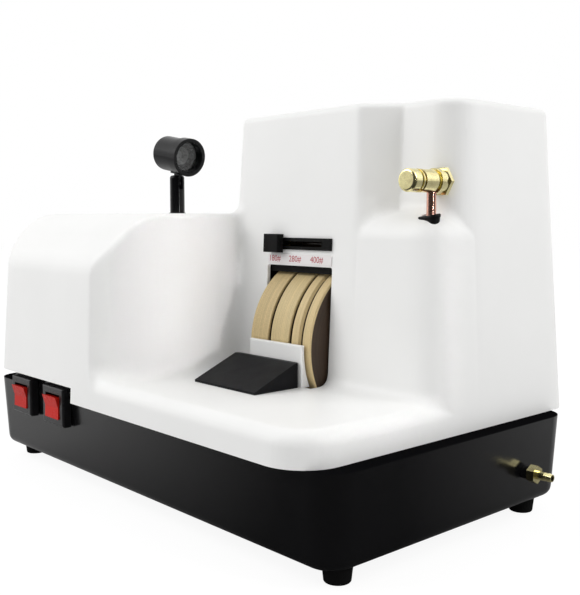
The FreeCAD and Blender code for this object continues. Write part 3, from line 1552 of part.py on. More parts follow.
def pieces():
    """Every piece of the edger under its node's name."""
    made = {}
    made["base_tub"] = make_base_tub()
    made["top_shell"] = make_top_shell()
    for index, (x, y) in enumerate(foot_places()):
        made[f"foot_{index + 1}"] = make_foot(x, y)
    made["foot_screws"] = make_foot_screws()
    made["shell_screws"] = make_shell_screws()
    for index, name in enumerate(("wheel_coarse", "wheel_medium", "wheel_fine")):
        made[name] = make_wheel(index)
    made["wheel_spacers"] = make_wheel_spacers()
    made["inner_flange"] = make_flange(wheel_left_x - flange_width)
    made["outer_flange"] = make_flange(wheel_pack_end())
    made["wheel_nut"] = make_wheel_nut()
    made["motor_shaft"] = make_motor_shaft()
    made["motor_rotor"] = make_motor_rotor()
    made["rotor_fan"] = make_rotor_fan()
    motor_right_x = motor_left_x + motor_length
    made["motor_housing"] = make_motor_housing()
    made["motor_stator"] = make_motor_stator()
    made["end_bell_left"] = make_end_bell(motor_left_x, -1)
    made["end_bell_right"] = make_end_bell(motor_right_x, 1)
    made["bearing_left"] = make_bearing(motor_left_x, -1)
    made["bearing_right"] = make_bearing(motor_right_x, 1)
    made["motor_cradle"] = make_motor_cradle()
    made["motor_bolts"] = make_motor_bolts()
    made["run_capacitor"] = make_run_capacitor()
    made["terminal_block"] = make_terminal_block()
    made["splash_hood"] = make_splash_hood()
    made["water_tray"] = make_water_tray()
    made["drain_pipe"] = make_drain_pipe()
    made["drain_bushing"] = make_drain_bushing()
    made["drain_barb"] = make_drain_barb()
    made["water_guard"] = make_water_guard()
    made["hand_rest"] = make_hand_rest()
    made["selector_rail"] = make_selector_rail()
    made["selector_knob"] = make_selector_knob()
    made["spray_sleeve"] = make_spray_sleeve()
    made["number_plate"] = make_number_plate()
    made["valve_nut"] = make_valve_nut()
    made["valve_body"] = make_valve_body()
    made["valve_knob"] = make_valve_knob()
    made["supply_tube"] = make_supply_tube()
    made["tube_grommet"] = make_tube_grommet()
    made["water_tank"] = make_water_tank()
    made["tank_cap"] = make_tank_cap()
    for side, right_x in zip(("left", "right"), bezel_right_x):
        made[f"switch_body_{side}"] = make_switch_body(right_x)
        made[f"rocker_{side}"] = make_rocker(right_x)
    made["power_inlet"] = make_power_inlet()
    made["lamp_collar"] = make_lamp_collar()
    made["lamp_post"] = make_lamp_post()
    made["lamp_knuckle"] = at_rest_tilt(make_lamp_knuckle())
    made["lamp_head"] = at_rest_tilt(make_lamp_head())
    made["lamp_led"] = at_rest_tilt(make_lamp_led())
    made["lamp_lens"] = at_rest_tilt(make_lamp_lens())
    return made


def main():
    """Make every piece, move it into the frame and write its file."""
    os.makedirs("parts", exist_ok=True)
    for name, shape in pieces().items():
        moved = shape.copy()
        moved.translate(V(-origin_x, -origin_y, 0))
        moved.exportStep(f"parts/{name}.step")
        bounds = moved.BoundBox
        print(name, len(moved.Solids), moved.isValid(), round(moved.Volume), [round(value, 1) for value in (
            bounds.XMin, bounds.XMax, bounds.YMin, bounds.YMax, bounds.ZMin, bounds.ZMax)])


main()
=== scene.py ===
import json
import math

import bpy
import numpy as np
from mathutils import Matrix, Vector


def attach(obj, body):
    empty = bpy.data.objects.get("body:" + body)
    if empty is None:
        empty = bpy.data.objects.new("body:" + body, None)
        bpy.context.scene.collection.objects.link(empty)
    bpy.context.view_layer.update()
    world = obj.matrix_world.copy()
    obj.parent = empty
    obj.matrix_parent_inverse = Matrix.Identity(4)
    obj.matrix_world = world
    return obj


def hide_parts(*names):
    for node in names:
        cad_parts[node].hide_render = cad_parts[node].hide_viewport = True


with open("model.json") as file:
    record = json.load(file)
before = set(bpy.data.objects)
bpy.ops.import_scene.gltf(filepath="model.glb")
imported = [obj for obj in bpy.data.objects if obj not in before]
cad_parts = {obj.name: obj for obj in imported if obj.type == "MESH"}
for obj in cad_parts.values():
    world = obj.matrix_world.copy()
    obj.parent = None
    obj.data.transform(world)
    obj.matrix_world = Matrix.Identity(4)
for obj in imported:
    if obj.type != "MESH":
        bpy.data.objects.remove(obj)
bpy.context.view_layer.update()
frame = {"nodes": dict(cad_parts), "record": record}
nodes = frame["nodes"]

# Where the cover's middle lies in the frame, in millimetres
SHIFT_X = -10.636
SHIFT_Y = 6.5
MM = 0.001


def at(x, y, z):
    """A point given in millimetres from the cover's middle, in the frame."""
    return Vector(((x + SHIFT_X) * MM, (y + SHIFT_Y) * MM, z * MM))


# Places that materials and cuts share: plain numbers are millimetres from the cover's middle, what at() gives is
# metres in the frame. The wheels' core, painted near-black as painted shade, and the lamp's cup each end between
# two radii, in metres.
SPINDLE = at(0, 24, 126.5)
WHEEL_SHADED_CORE = (0.0660, 0.0664)
LAMP_POST = (-97, -20)
LAMP_PIVOT = 259
LAMP_REACH = 25.4
LAMP_TILT = math.radians(10.0)
LAMP_AXIS = (math.cos(LAMP_TILT), 0.0, -math.sin(LAMP_TILT))
LAMP_MIDDLE = at(LAMP_POST[0] + LAMP_REACH * math.sin(LAMP_TILT), LAMP_POST[1],
                 LAMP_PIVOT + LAMP_REACH * math.cos(LAMP_TILT))
LAMP_CUP = (0.0078, 0.0086)
CAP_PLACE = (60, 70)
TUBE_PLACE = (193.5, -8.925)
VALVE_HEIGHT = 252


# Materials

def new_material(name):
    material = bpy.data.materials.new(name)
    material.use_nodes = True
    tree = material.node_tree
    shader = tree.nodes["Principled BSDF"]
    return material, tree, shader


def noise(tree, scale, detail=3.0, roughness=0.5):
    texture = tree.nodes.new("ShaderNodeTexNoise")
    texture.inputs["Scale"].default_value = scale
    texture.inputs["Detail"].default_value = detail
    texture.inputs["Roughness"].default_value = roughness
    tree.links.new(object_place(tree), texture.inputs["Vector"])
    return texture.outputs["Fac"]


def ramp(tree, source, low, high, low_at=0.3, high_at=0.7):
    node = tree.nodes.new("ShaderNodeMapRange")
    node.inputs["From Min"].default_value = low_at
    node.inputs["From Max"].default_value = high_at
    node.inputs["To Min"].default_value = low
    node.inputs["To Max"].default_value = high
    tree.links.new(source, node.inputs["Value"])
    return node.outputs["Result"]


def mix_colours(tree, fac, first, second):
    node = tree.nodes.new("ShaderNodeMix")
    node.data_type = "RGBA"
    node.inputs["A"].default_value = (*first, 1)
    node.inputs["B"].default_value = (*second, 1)
    tree.links.new(fac, node.inputs["Factor"])
    return node.outputs["Result"]


def object_place(tree):
    return tree.nodes.new("ShaderNodeTexCoord").outputs["Object"]


def vector_math(tree, operation, source, value=None, output="Vector"):
    node = tree.nodes.new("ShaderNodeVectorMath")
    node.operation = operation
    if value is not None:
        node.inputs[1].default_value = value
    tree.links.new(source, node.inputs[0])
    return node.outputs[output]


def from_axis(tree, centre, axis):
    """Distance from a line, in metres."""
    away = vector_math(tree, "SUBTRACT", object_place(tree), centre)
    across = vector_math(tree, "CROSS_PRODUCT", away, axis)
    return vector_math(tree, "LENGTH", across, output="Value")


def join_values(tree, operation, first, second):
    """A math node on a socket and either a number or another socket."""
    node = tree.nodes.new("ShaderNodeMath")
    node.operation = operation
    tree.links.new(first, node.inputs[0])
    if isinstance(second, float):
        node.inputs[1].default_value = second
    else:
        tree.links.new(second, node.inputs[1])
    return node.outputs["Value"]


def stretched_noise(tree, scale, detail):
    """Noise drawn out along the axes with the smaller scale."""
    stretch = tree.nodes.new("ShaderNodeMapping")
    stretch.inputs["Scale"].default_value = scale
    tree.links.new(object_place(tree), stretch.inputs["Vector"])
    texture = tree.nodes.new("ShaderNodeTexNoise")
    texture.inputs["Scale"].default_value = 1.0
    texture.inputs["Detail"].default_value = detail
    tree.links.new(stretch.outputs["Vector"], texture.inputs["Vector"])
    return texture.outputs["Fac"]


def along_x(tree):
    parts = tree.nodes.new("ShaderNodeSeparateXYZ")
    tree.links.new(object_place(tree), parts.inputs["Vector"])
    return parts.outputs["X"]


def mix_sockets(tree, fac, first, second):
    node = tree.nodes.new("ShaderNodeMix")
    node.data_type = "RGBA"
    tree.links.new(first, node.inputs["A"])
    tree.links.new(second, node.inputs["B"])
    tree.links.new(fac, node.inputs["Factor"])
    return node.outputs["Result"]


def bump(tree, shader, height, strength, distance, under=None):
    node = tree.nodes.new("ShaderNodeBump")
    node.inputs["Strength"].default_value = strength
    node.inputs["Distance"].default_value = distance
    tree.links.new(height, node.inputs["Height"])
    if under is not None:
        tree.links.new(under, node.inputs["Normal"])
    tree.links.new(node.outputs["Normal"], shader.inputs["Normal"])
    return node.outputs["Normal"]


def finish_like(name, colour, rough, metallic=0.0, spread=0.06, grain=1400.0, grain_strength=0.12,
                grain_depth=0.00005, rough_spread=0.08, specular=0.5, dust=0.0):
    """Moulded, cast or painted finish: uneven colour, uneven gloss, fine grain and slow waviness."""
    material, tree, shader = new_material(name)
    broad = noise(tree, 14.0, 4.0)
    fine = noise(tree, grain, 2.0)
    slow = noise(tree, 45.0, 1.0)
    lighter = [min(1.0, c * (1 + spread) + dust) for c in colour]
    darker = [c * (1 - spread) for c in colour]
    tree.links.new(mix_colours(tree, ramp(tree, broad, 0, 1), darker, lighter), shader.inputs["Base Color"])
    tree.links.new(ramp(tree, noise(tree, 60.0, 5.0, 0.65), rough - rough_spread, rough + rough_spread),
                   shader.inputs["Roughness"])
    shader.inputs["Metallic"].default_value = metallic
    shader.inputs["Specular IOR Level"].default_value = specular
    wave = bump(tree, shader, slow, 0.12, 0.0004)
    bump(tree, shader, fine, grain_strength, grain_depth, wave)
    return material


def turned_metal(name, colour, rough, axis):
    """Lathe-turned metal: fine rings across the axis, tarnish in blotches."""
    material, tree, shader = new_material(name)
    scale = [60.0, 60.0, 60.0]
    scale[axis] = 5200.0
    rings = stretched_noise(tree, scale, 2.0)
    blotch = noise(tree, 220.0, 4.0)
    darker = [c * 0.86 for c in colour]
    lighter = [min(1.0, c * 1.06) for c in colour]
    tree.links.new(mix_colours(tree, ramp(tree, blotch, 0, 1, 0.35, 0.6), darker, lighter),
                   shader.inputs["Base Color"])
    tree.links.new(ramp(tree, blotch, rough * 1.5, rough * 0.8), shader.inputs["Roughness"])
    shader.inputs["Metallic"].default_value = 1.0
    bump(tree, shader, rings, 0.25, 0.00003)
    return material


def abrasive(name, colour, grit_scale, fleck):
    """Bonded grit: grains of several tones, worn tracks round the rim, rough surface; inside the rim the core is
    painted near-black brown as painted shade under the housing.
    """
    material, tree, shader = new_material(name)
    grains = tree.nodes.new("ShaderNodeTexVoronoi")
    grains.inputs["Scale"].default_value = grit_scale
    tree.links.new(object_place(tree), grains.inputs["Vector"])
    tone = tree.nodes.new("ShaderNodeSeparateColor")
    tree.links.new(grains.outputs["Color"], tone.inputs["Color"])
    tracks = stretched_noise(tree, (1400.0, 9.0, 9.0), 3.0)
    blend = tree.nodes.new("ShaderNodeMath")
    blend.operation = "MULTIPLY_ADD"
    blend.inputs[1].default_value = 0.45
    tree.links.new(tone.outputs["Red"], blend.inputs[0])
    tree.links.new(ramp(tree, tracks, 0.0, 0.55), blend.inputs[2])
    dark = [c * (1 - fleck) for c in colour]
    pale = [min(1.0, c * (1 + fleck)) for c in colour]
    grit = mix_colours(tree, blend.outputs["Value"], dark, pale)
    reach = from_axis(tree, SPINDLE, (1, 0, 0))
    rings = tree.nodes.new("ShaderNodeTexNoise")
    rings.noise_dimensions = "1D"
    rings.inputs["Scale"].default_value = 900.0
    tree.links.new(reach, rings.inputs["W"])
    # The core's near-black brown is painted shade: the housing's shadow over the wheels' sides, painted onto a
    # real core.
    core_in_painted_shade = mix_colours(tree, rings.outputs["Fac"], (0.020, 0.010, 0.005), (0.060, 0.034, 0.016))
    tree.links.new(mix_sockets(tree, ramp(tree, reach, 0, 1, *WHEEL_SHADED_CORE), core_in_painted_shade, grit),
                   shader.inputs["Base Color"])
    tree.links.new(ramp(tree, tracks, 0.42, 0.62), shader.inputs["Roughness"])
    shader.inputs["Specular IOR Level"].default_value = 0.4
    first = bump(tree, shader, grains.outputs["Distance"], 0.35, 0.0001)
    bump(tree, shader, tracks, 0.3, 0.00008, first)
    return material


def lamp_reflector(name):
    """Bright cup round the light source, dark towards its rim."""
    material, tree, shader = new_material(name)
    reach = from_axis(tree, LAMP_MIDDLE, LAMP_AXIS)
    inner = mix_colours(tree, ramp(tree, noise(tree, 420.0, 3.0), 0, 1), (0.20, 0.20, 0.19),
                        (0.46, 0.46, 0.45))
    outer = mix_colours(tree, ramp(tree, noise(tree, 160.0, 3.0), 0, 1), (0.006, 0.006, 0.006),
                        (0.014, 0.014, 0.014))
    tree.links.new(mix_sockets(tree, ramp(tree, reach, 0, 1, *LAMP_CUP), inner, outer),
                   shader.inputs["Base Color"])
    tree.links.new(ramp(tree, noise(tree, 300.0, 3.0), 0.22, 0.38), shader.inputs["Roughness"])
    bump(tree, shader, noise(tree, 520.0, 2.0), 0.5, 0.0003)
    return material


def inner_patina(name, colour, rough):
    """Copper tube: bright outside the cover, stained brown where it runs inside in the wet."""
    material = turned_metal(name, colour, rough, 2)
    tree = material.node_tree
    shader = tree.nodes["Principled BSDF"]
    bright = shader.inputs["Base Color"].links[0].from_socket
    stain = mix_colours(tree, ramp(tree, noise(tree, 180.0, 4.0), 0, 1), (0.012, 0.008, 0.006),
                        (0.030, 0.016, 0.010))
    inside = ramp(tree, along_x(tree), 1, 0, 0.150, 0.172)
    tree.links.new(mix_sockets(tree, inside, bright, stain), shader.inputs["Base Color"])
    tree.links.new(ramp(tree, inside, 1, 0, 0, 1), shader.inputs["Metallic"])
    return material


def glossy_base(name):
    """Polished black moulding whose upward-facing faces, such as the ledge, reflect less and so look darker."""
    material = finish_like(name, (0.004, 0.004, 0.0045), 0.21, spread=0.10, grain=900.0,
                           grain_strength=0.03, rough_spread=0.05, specular=0.6)
    tree = material.node_tree
    shader = tree.nodes["Principled BSDF"]
    facing = tree.nodes.new("ShaderNodeNewGeometry")
    parts = tree.nodes.new("ShaderNodeSeparateXYZ")
    tree.links.new(facing.outputs["Normal"], parts.inputs["Vector"])
    tree.links.new(ramp(tree, parts.outputs["Z"], 0.6, 0.0, 0.35, 0.8), shader.inputs["Specular IOR Level"])
    return material


def clear_lens(name):
    material, tree, shader = new_material(name)
    shader.inputs["Base Color"].default_value = (0.96, 0.97, 0.98, 1)
    shader.inputs["Transmission Weight"].default_value = 1.0
    shader.inputs["IOR"].default_value = 1.45
    tree.links.new(ramp(tree, noise(tree, 300.0, 4.0), 0.02, 0.10), shader.inputs["Roughness"])
    bump(tree, shader, noise(tree, 60.0, 2.0), 0.05, 0.0001)
    return material


def cloudy_tank(name):
    material, tree, shader = new_material(name)
    broad = noise(tree, 22.0, 4.0)
    tree.links.new(mix_colours(tree, ramp(tree, broad, 0, 1), (0.70, 0.73, 0.74), (0.80, 0.82, 0.82)),
                   shader.inputs["Base Color"])
    tree.links.new(ramp(tree, broad, 0.3, 0.5), shader.inputs["Roughness"])
    shader.inputs["Transmission Weight"].default_value = 0.35
    bump(tree, shader, noise(tree, 700.0, 2.0), 0.1, 0.0001)
    return material


slot_material = {
    "base_black": glossy_base("base_black"),
    "cover_white": finish_like("cover_white", (0.89, 0.89, 0.88), 0.42, spread=0.012, grain=1500.0,
                               grain_strength=0.06, rough_spread=0.05, specular=0.35),
    "foot_rubber": finish_like("foot_rubber", (0.005, 0.005, 0.005), 0.75, grain_strength=0.4, dust=0.002,
                               specular=0.1),
    "screw_steel": turned_metal("screw_steel", (0.58, 0.58, 0.57), 0.32, 2),
    "grit_coarse": abrasive("grit_coarse", (0.60, 0.46, 0.235), 2600.0, 0.26),
    "grit_medium": abrasive("grit_medium", (0.61, 0.48, 0.25), 3600.0, 0.24),
    "grit_fine": abrasive("grit_fine", (0.62, 0.48, 0.25), 5200.0, 0.20),
    "spacer_dark": finish_like("spacer_dark", (0.012, 0.006, 0.004), 0.6, grain_strength=0.3, dust=0.002,
                               specular=0.2),
    "steel": turned_metal("steel", (0.60, 0.60, 0.61), 0.28, 0),
    "motor_grey": finish_like("motor_grey", (0.075, 0.08, 0.085), 0.45, grain=700.0, grain_strength=0.35,
                              grain_depth=0.0001),
    "alloy": finish_like("alloy", (0.62, 0.62, 0.63), 0.42, metallic=1.0, grain=500.0, grain_strength=0.3,
                         grain_depth=0.0001),
    "lamination": turned_metal("lamination", (0.30, 0.30, 0.31), 0.45, 0),
    "hood_black": finish_like("hood_black", (0.004, 0.004, 0.004), 0.55, grain_strength=0.25, dust=0.001,
                              specular=0.12),
    "tray_grey": finish_like("tray_grey", (0.20, 0.21, 0.22), 0.45, grain_strength=0.2),
    "brass": turned_metal("brass", (0.98, 0.86, 0.46), 0.18, 1),
    "copper": inner_patina("copper", (0.82, 0.46, 0.36), 0.20),
    "black_rubber": finish_like("black_rubber", (0.006, 0.006, 0.006), 0.5, grain_strength=0.3, specular=0.15),
    "guard_white": finish_like("guard_white", (0.82, 0.82, 0.81), 0.42, spread=0.02, grain=1100.0,
                               grain_strength=0.1),
    "rest_black": finish_like("rest_black", (0.006, 0.006, 0.007), 0.42, specular=0.08, grain=1900.0,
                              grain_strength=0.25, grain_depth=0.00008, rough_spread=0.07),
    "selector_black": finish_like("selector_black", (0.004, 0.004, 0.004), 0.42, grain_strength=0.2,
                                  specular=0.1),
    "plate_print": finish_like("plate_print", (0.82, 0.79, 0.79), 0.35, spread=0.02, grain_strength=0.05),
    "tank_clear": cloudy_tank("tank_clear"),
    "cap_white": finish_like("cap_white", (0.78, 0.78, 0.77), 0.42, spread=0.02, grain_strength=0.12),
    "switch_black": finish_like("switch_black", (0.010, 0.010, 0.011), 0.30, grain_strength=0.15),
    "switch_red": finish_like("switch_red", (0.52, 0.014, 0.008), 0.26, specular=0.12, spread=0.08,
                              grain_strength=0.05, rough_spread=0.06),
    "lamp_black": finish_like("lamp_black", (0.003, 0.003, 0.0035), 0.24, grain=1600.0, grain_strength=0.2,
                              rough_spread=0.06, specular=0.22),
    "lens_clear": clear_lens("lens_clear"),
    "led_grey": lamp_reflector("led_grey"),
}

node_slot = {part["node"]: part["material_slot"] for part in frame["record"]["subparts"]}
for node, slot in node_slot.items():
    body = nodes[node]
    for index in range(len(body.material_slots)):
        body.material_slots[index].material = slot_material[slot]


# The cover's form as a field of distances, in millimetres

SEAM = 76.0
TABLE = 99.0
LEFT_TOP = 230.5
TALL_TOP = 311.0
DRAFT = 0.05
SKIN = 3.0
PITCH = 2.0


def cross_2d(a, b):
    return a[0] * b[1] - a[1] * b[0]


def moved_outline(points, distance):
    """An anticlockwise outline with every side moved inwards."""
    moved = []
    count = len(points)
    for index in range(count):
        before, here, after = (np.array(points[(index + k) % count], float) for k in (-1, 0, 1))
        side_in = (here - before) / np.linalg.norm(here - before)
        side_out = (after - here) / np.linalg.norm(after - here)
        normal_in = np.array([-side_in[1], side_in[0]])
        normal_out = np.array([-side_out[1], side_out[0]])
        moved.append(here + (normal_in + normal_out) * (distance / (1 + normal_in @ normal_out)))
    return moved


def rounded_outline(points, radii, steps=10):
    """The outline with an arc at every corner."""
    result = []
    count = len(points)
    for index in range(count):
        before, here, after = (np.array(points[(index + k) % count], float) for k in (-1, 0, 1))
        side_in = (before - here) / np.linalg.norm(before - here)
        side_out = (after - here) / np.linalg.norm(after - here)
        half = math.acos(max(-1.0, min(1.0, float(side_in @ side_out)))) / 2
        reach = radii[index] / math.tan(half)
        start = here + side_in * reach
        halving = (side_in + side_out) / np.linalg.norm(side_in + side_out)
        middle = here + halving * (radii[index] / math.sin(half))
        first = start - middle
        last = here + side_out * reach - middle
        turn = math.atan2(cross_2d(first, last), float(first @ last))
        for step in range(steps + 1):
            angle = turn * step / steps
            c, s = math.cos(angle), math.sin(angle)
            result.append(middle + np.array([first[0] * c - first[1] * s, first[0] * s + first[1] * c]))
    return np.array(result)


def plan_distance(outline, xs, ys):
    """Signed distance to a closed outline at each place of a plan grid."""
    gx, gy = np.meshgrid(xs, ys, indexing="ij")
    best = np.full(gx.shape, 1e12)
    inside = np.zeros(gx.shape, bool)
    for index in range(len(outline)):
        a, b = outline[index - 1], outline[index]
        edge = b - a
        length = float(edge @ edge)
        if length < 1e-12:
            continue
        t = np.clip(((gx - a[0]) * edge[0] + (gy - a[1]) * edge[1]) / length, 0, 1)
        dx = gx - a[0] - t * edge[0]
        dy = gy - a[1] - t * edge[1]
        best = np.minimum(best, dx * dx + dy * dy)
        crosses = (a[1] > gy) != (b[1] > gy)
        if edge[1] != 0:
            crossing_x = a[0] + (gy - a[1]) * edge[0] / edge[1]
            inside ^= crosses & (gx < crossing_x)
    return np.where(inside, -1.0, 1.0) * np.sqrt(best)


def drafted_field(points, radii, grid):
    """A moulded block whose walls lean inwards as they rise."""
    xs, ys, zs = grid
    low = plan_distance(rounded_outline(points, radii), xs, ys)
    high_points = moved_outline(points, (TALL_TOP - SEAM) * DRAFT)
    high = plan_distance(rounded_outline(high_points, radii), xs, ys)
    share = ((zs - SEAM) / (TALL_TOP - SEAM))[None, None, :]
    return (low[:, :, None] * (1 - share) + high[:, :, None] * share).astype(np.float32)


def both_round(a, b, radius):
    """What is inside both fields, with a rolled edge where they meet."""
    u = np.maximum(a + radius, 0)
    v = np.maximum(b + radius, 0)
    return np.minimum(np.maximum(a, b), -radius) + np.sqrt(u * u + v * v)


def both_soft(a, b, reach):
    """What is inside both fields, with a blended edge of the given reach."""
    h = np.maximum(reach - np.abs(a - b), 0) / reach
    return np.maximum(a, b) + h * h * reach / 4


def either_soft(a, b, radius):
    """Join two fields with a hollow fillet, but none where their walls run on in one plane."""
    alike = sum(p * q for p, q in zip(np.gradient(a, PITCH), np.gradient(b, PITCH)))
    reach = np.maximum(1.66 * radius * np.clip((0.9 - alike) / 0.6, 0, 1), 0.01)
    h = np.maximum(reach - np.abs(a - b), 0) / reach
    return np.minimum(a, b) - h * h * reach / 4


def left_block_outline():
    """Plan of the left block, whose corner by the recess is a shallow bend."""
    bend_start = np.array([-33.0, -152.0])
    bend_end = np.array([5.0, -50.0])
    chord = bend_end - bend_start
    length = float(np.linalg.norm(chord))
    outward = np.array([chord[1], -chord[0]]) / length
    bend = (bend_start + bend_end) / 2 + outward * 14.0
    points = [(-215, -152), tuple(bend_start), tuple(bend), tuple(bend_end), (5, -4.2), (29, -4.2),
              (29, 139), (-215, 139)]
    radii = [32, 3, length * length / 56.0 * 0.7, 14, 3, 3, 3, 15]
    return points, radii


def cover_field(grid):
    """Apron, left block, tall block and column joined, held within the outer walls."""
    xs, ys, zs = grid
    z = np.broadcast_to(zs[None, None, :], (len(xs), len(ys), len(zs))).astype(np.float32)
    y = np.broadcast_to(ys[None, :, None], z.shape).astype(np.float32)
    whole = drafted_field([(-215, -152), (215, -152), (215, 139), (-215, 139)], [32, 32, 15, 15], grid)
    apron = both_round(whole, z - TABLE, 10.0)
    slope = ((y + 146.3) * -36.0 + (z - 190.0) * 33.3) / 49.04
    fade = ((y + 113.0) * -4.5 + (z - 226.0) * 18.0) / 18.55
    top = both_soft(both_soft(slope, fade, 9.0), z - LEFT_TOP, 2.0)
    left = both_soft(drafted_field(*left_block_outline(), grid), top, 6.0)
    tall = drafted_field([(-18.5, -28.2), (137, -28.2), (159.2, -6), (215, -6), (215, 139), (-18.5, 139)],
                         [6, 10, 6, 23, 15, 15], grid)
    tall = both_round(tall, z - TALL_TOP, 5.0)
    column = drafted_field([(110, -28.2), (215, -28.2), (215, 49.8), (110, 49.8)], [22] * 4, grid)
    column = both_round(column, z - LEFT_TOP, 20.0)
    lower = either_soft(apron, left, 10.0)
    upper = either_soft(tall, column, 5.0)
    return np.maximum(either_soft(lower, upper, 6.0), whole)


def net_mesh(field, start, pitch):
    """Surface net of a field: one vertex in each cell that the surface crosses."""
    inside = field < 0
    shape = tuple(n - 1 for n in field.shape)
    corner = {}
    for dx in (0, 1):
        for dy in (0, 1):
            for dz in (0, 1):
                corner[dx, dy, dz] = tuple(slice(d, d + n) for d, n in zip((dx, dy, dz), shape))
    count = sum(inside[c].astype(np.int8) for c in corner.values())
    active = (count > 0) & (count < 8)
    number = np.full(shape, -1, np.int64)
    number[active] = np.arange(int(active.sum()))
    cells = np.argwhere(active)
    total = np.zeros((len(cells), 3))
    hits = np.zeros(len(cells))
    for a in corner:
        for axis in range(3):
            if a[axis]:
                continue
            b = tuple(1 if k == axis else a[k] for k in range(3))
            va = field[corner[a]][active]
            vb = field[corner[b]][active]
            cut = (va < 0) != (vb < 0)
            t = np.zeros(len(cells))
            t[cut] = va[cut] / (va[cut] - vb[cut])
            place = np.array(a, float)[None, :].repeat(len(cells), 0)
            place[:, axis] = t
            total[cut] += place[cut]
            hits[cut] += 1
    verts = (cells + total / hits[:, None]) * pitch + start
    quads = []
    for axis in range(3):
        p, q = [k for k in range(3) if k != axis]
        lo = [slice(None)] * 3
        hi = [slice(None)] * 3
        lo[axis] = slice(0, -1)
        hi[axis] = slice(1, None)
        change = inside[tuple(lo)] != inside[tuple(hi)]
        goes_in = inside[tuple(lo)]
        where = np.argwhere(change)
        keep = (where[:, p] > 0) & (where[:, q] > 0) & (where[:, p] < shape[p]) & (where[:, q] < shape[q])
        where = where[keep]
        flags = goes_in[tuple(where.T)]
        ring = []
        for dp, dq in ((1, 1), (0, 1), (0, 0), (1, 0)):
            cell = where.copy()
            cell[:, p] -= dp
            cell[:, q] -= dq
            ring.append(number[tuple(cell.T)])
        ring = np.array(ring).T
        if axis == 1:
            flags = ~flags
        ring[~flags] = ring[~flags][:, ::-1]
        quads.append(ring)
    return verts, np.concatenate(quads)


def sample(field, start, pitch, points):
    """Value and direction of a field at free points."""
    cell = (points - start) / pitch
    base = np.clip(np.floor(cell).astype(int), 0, np.array(field.shape) - 2)
    f = cell - base
    value = np.zeros(len(points))
    slope = np.zeros((len(points), 3))
    for dx in (0, 1):
        for dy in (0, 1):
            for dz in (0, 1):
                v = field[base[:, 0] + dx, base[:, 1] + dy, base[:, 2] + dz]
                wx = f[:, 0] if dx else 1 - f[:, 0]
                wy = f[:, 1] if dy else 1 - f[:, 1]
                wz = f[:, 2] if dz else 1 - f[:, 2]
                value += v * wx * wy * wz
                slope[:, 0] += v * (1 if dx else -1) * wy * wz
                slope[:, 1] += v * (1 if dy else -1) * wx * wz
                slope[:, 2] += v * (1 if dz else -1) * wx * wy
    return value, slope / np.maximum(np.linalg.norm(slope, axis=1), 1e-9)[:, None]


def add_object(name, mesh, slot, body, smooth=True):
    piece = bpy.data.objects.new(name, mesh)
    bpy.context.scene.collection.objects.link(piece)
    mesh.materials.clear()
    mesh.materials.append(slot_material[slot])
    if smooth:
        mesh.shade_smooth()
    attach(piece, body)
    return piece


def mesh_from(name, verts, faces):
    mesh = bpy.data.meshes.new(name)
    mesh.from_pydata([tuple(v) for v in verts], [], [tuple(f) for f in faces])
    mesh.update()
    return mesh


def in_frame(verts):
    return (np.asarray(verts, float) + np.array([SHIFT_X, SHIFT_Y, 0.0])) * MM


def rounded_bar(x0, x1, z0, z1, y0, y1, radius, steps=6):
    """A bar along Y with rounded corners, in millimetres."""
    outline = rounded_outline([(x0, z0), (x1, z0), (x1, z1), (x0, z1)], [radius] * 4, steps)
    count = len(outline)
    verts = [(p[0], y0, p[1]) for p in outline] + [(p[0], y1, p[1]) for p in outline]
    faces = [tuple(range(count)), tuple(range(2 * count - 1, count - 1, -1))]
    faces += [(i, count + i, count + (i + 1) % count, (i + 1) % count) for i in range(count)]
    return verts, faces


def upright_bar(points, radii, z0, z1, steps=8):
    """An upright prism on a rounded plan, in millimetres."""
    outline = rounded_outline(points, radii, steps)
    count = len(outline)
    verts = [(p[0], p[1], z0) for p in outline] + [(p[0], p[1], z1) for p in outline]
    faces = [tuple(range(count - 1, -1, -1)), tuple(range(count, 2 * count))]
    faces += [(i, (i + 1) % count, count + (i + 1) % count, count + i) for i in range(count)]
    return verts, faces


def box_bar(x0, x1, y0, y1, z0, z1):
    return upright_bar([(x0, y0), (x1, y0), (x1, y1), (x0, y1)], [0.01] * 4, z0, z1, 1)


def round_bar(start, end, radius, steps=48):
    """A round bar between two points, in millimetres."""
    start, end = Vector(start), Vector(end)
    turn = (end - start).to_track_quat("Z", "Y")
    verts, faces = [], []
    for place in (start, end):
        for step in range(steps):
            angle = 2 * math.pi * step / steps
            verts.append(tuple(place + turn @ Vector((radius * math.cos(angle), radius * math.sin(angle), 0))))
    faces.append(tuple(range(steps - 1, -1, -1)))
    faces.append(tuple(range(steps, 2 * steps)))
    faces += [(i, (i + 1) % steps, steps + (i + 1) % steps, steps + i) for i in range(steps)]
    return verts, faces


def temporary(name, verts, faces):
    piece = bpy.data.objects.new(name, mesh_from(name, in_frame(verts), faces))
    bpy.context.scene.collection.objects.link(piece)
    return piece


def settled(piece):
    """The piece's mesh with its modifiers made permanent."""
    graph = bpy.context.evaluated_depsgraph_get()
    mesh = bpy.data.meshes.new_from_object(piece.evaluated_get(graph), preserve_all_data_layers=True,
                                           depsgraph=graph)
    old = piece.data
    piece.modifiers.clear()
    piece.data = mesh
    bpy.data.meshes.remove(old)


def thinned(piece, ratio):
    modifier = piece.modifiers.new("thin", "DECIMATE")
    modifier.ratio = ratio
    settled(piece)


def carve(piece, cutters):
    for cutter in cutters:
        modifier = piece.modifiers.new("cut", "BOOLEAN")
        modifier.operation = "DIFFERENCE"
        modifier.solver = "MANIFOLD"
        modifier.object = cutter
    settled(piece)
    for cutter in cutters:
        mesh = cutter.data
        bpy.data.objects.remove(cutter)
        bpy.data.meshes.remove(mesh)


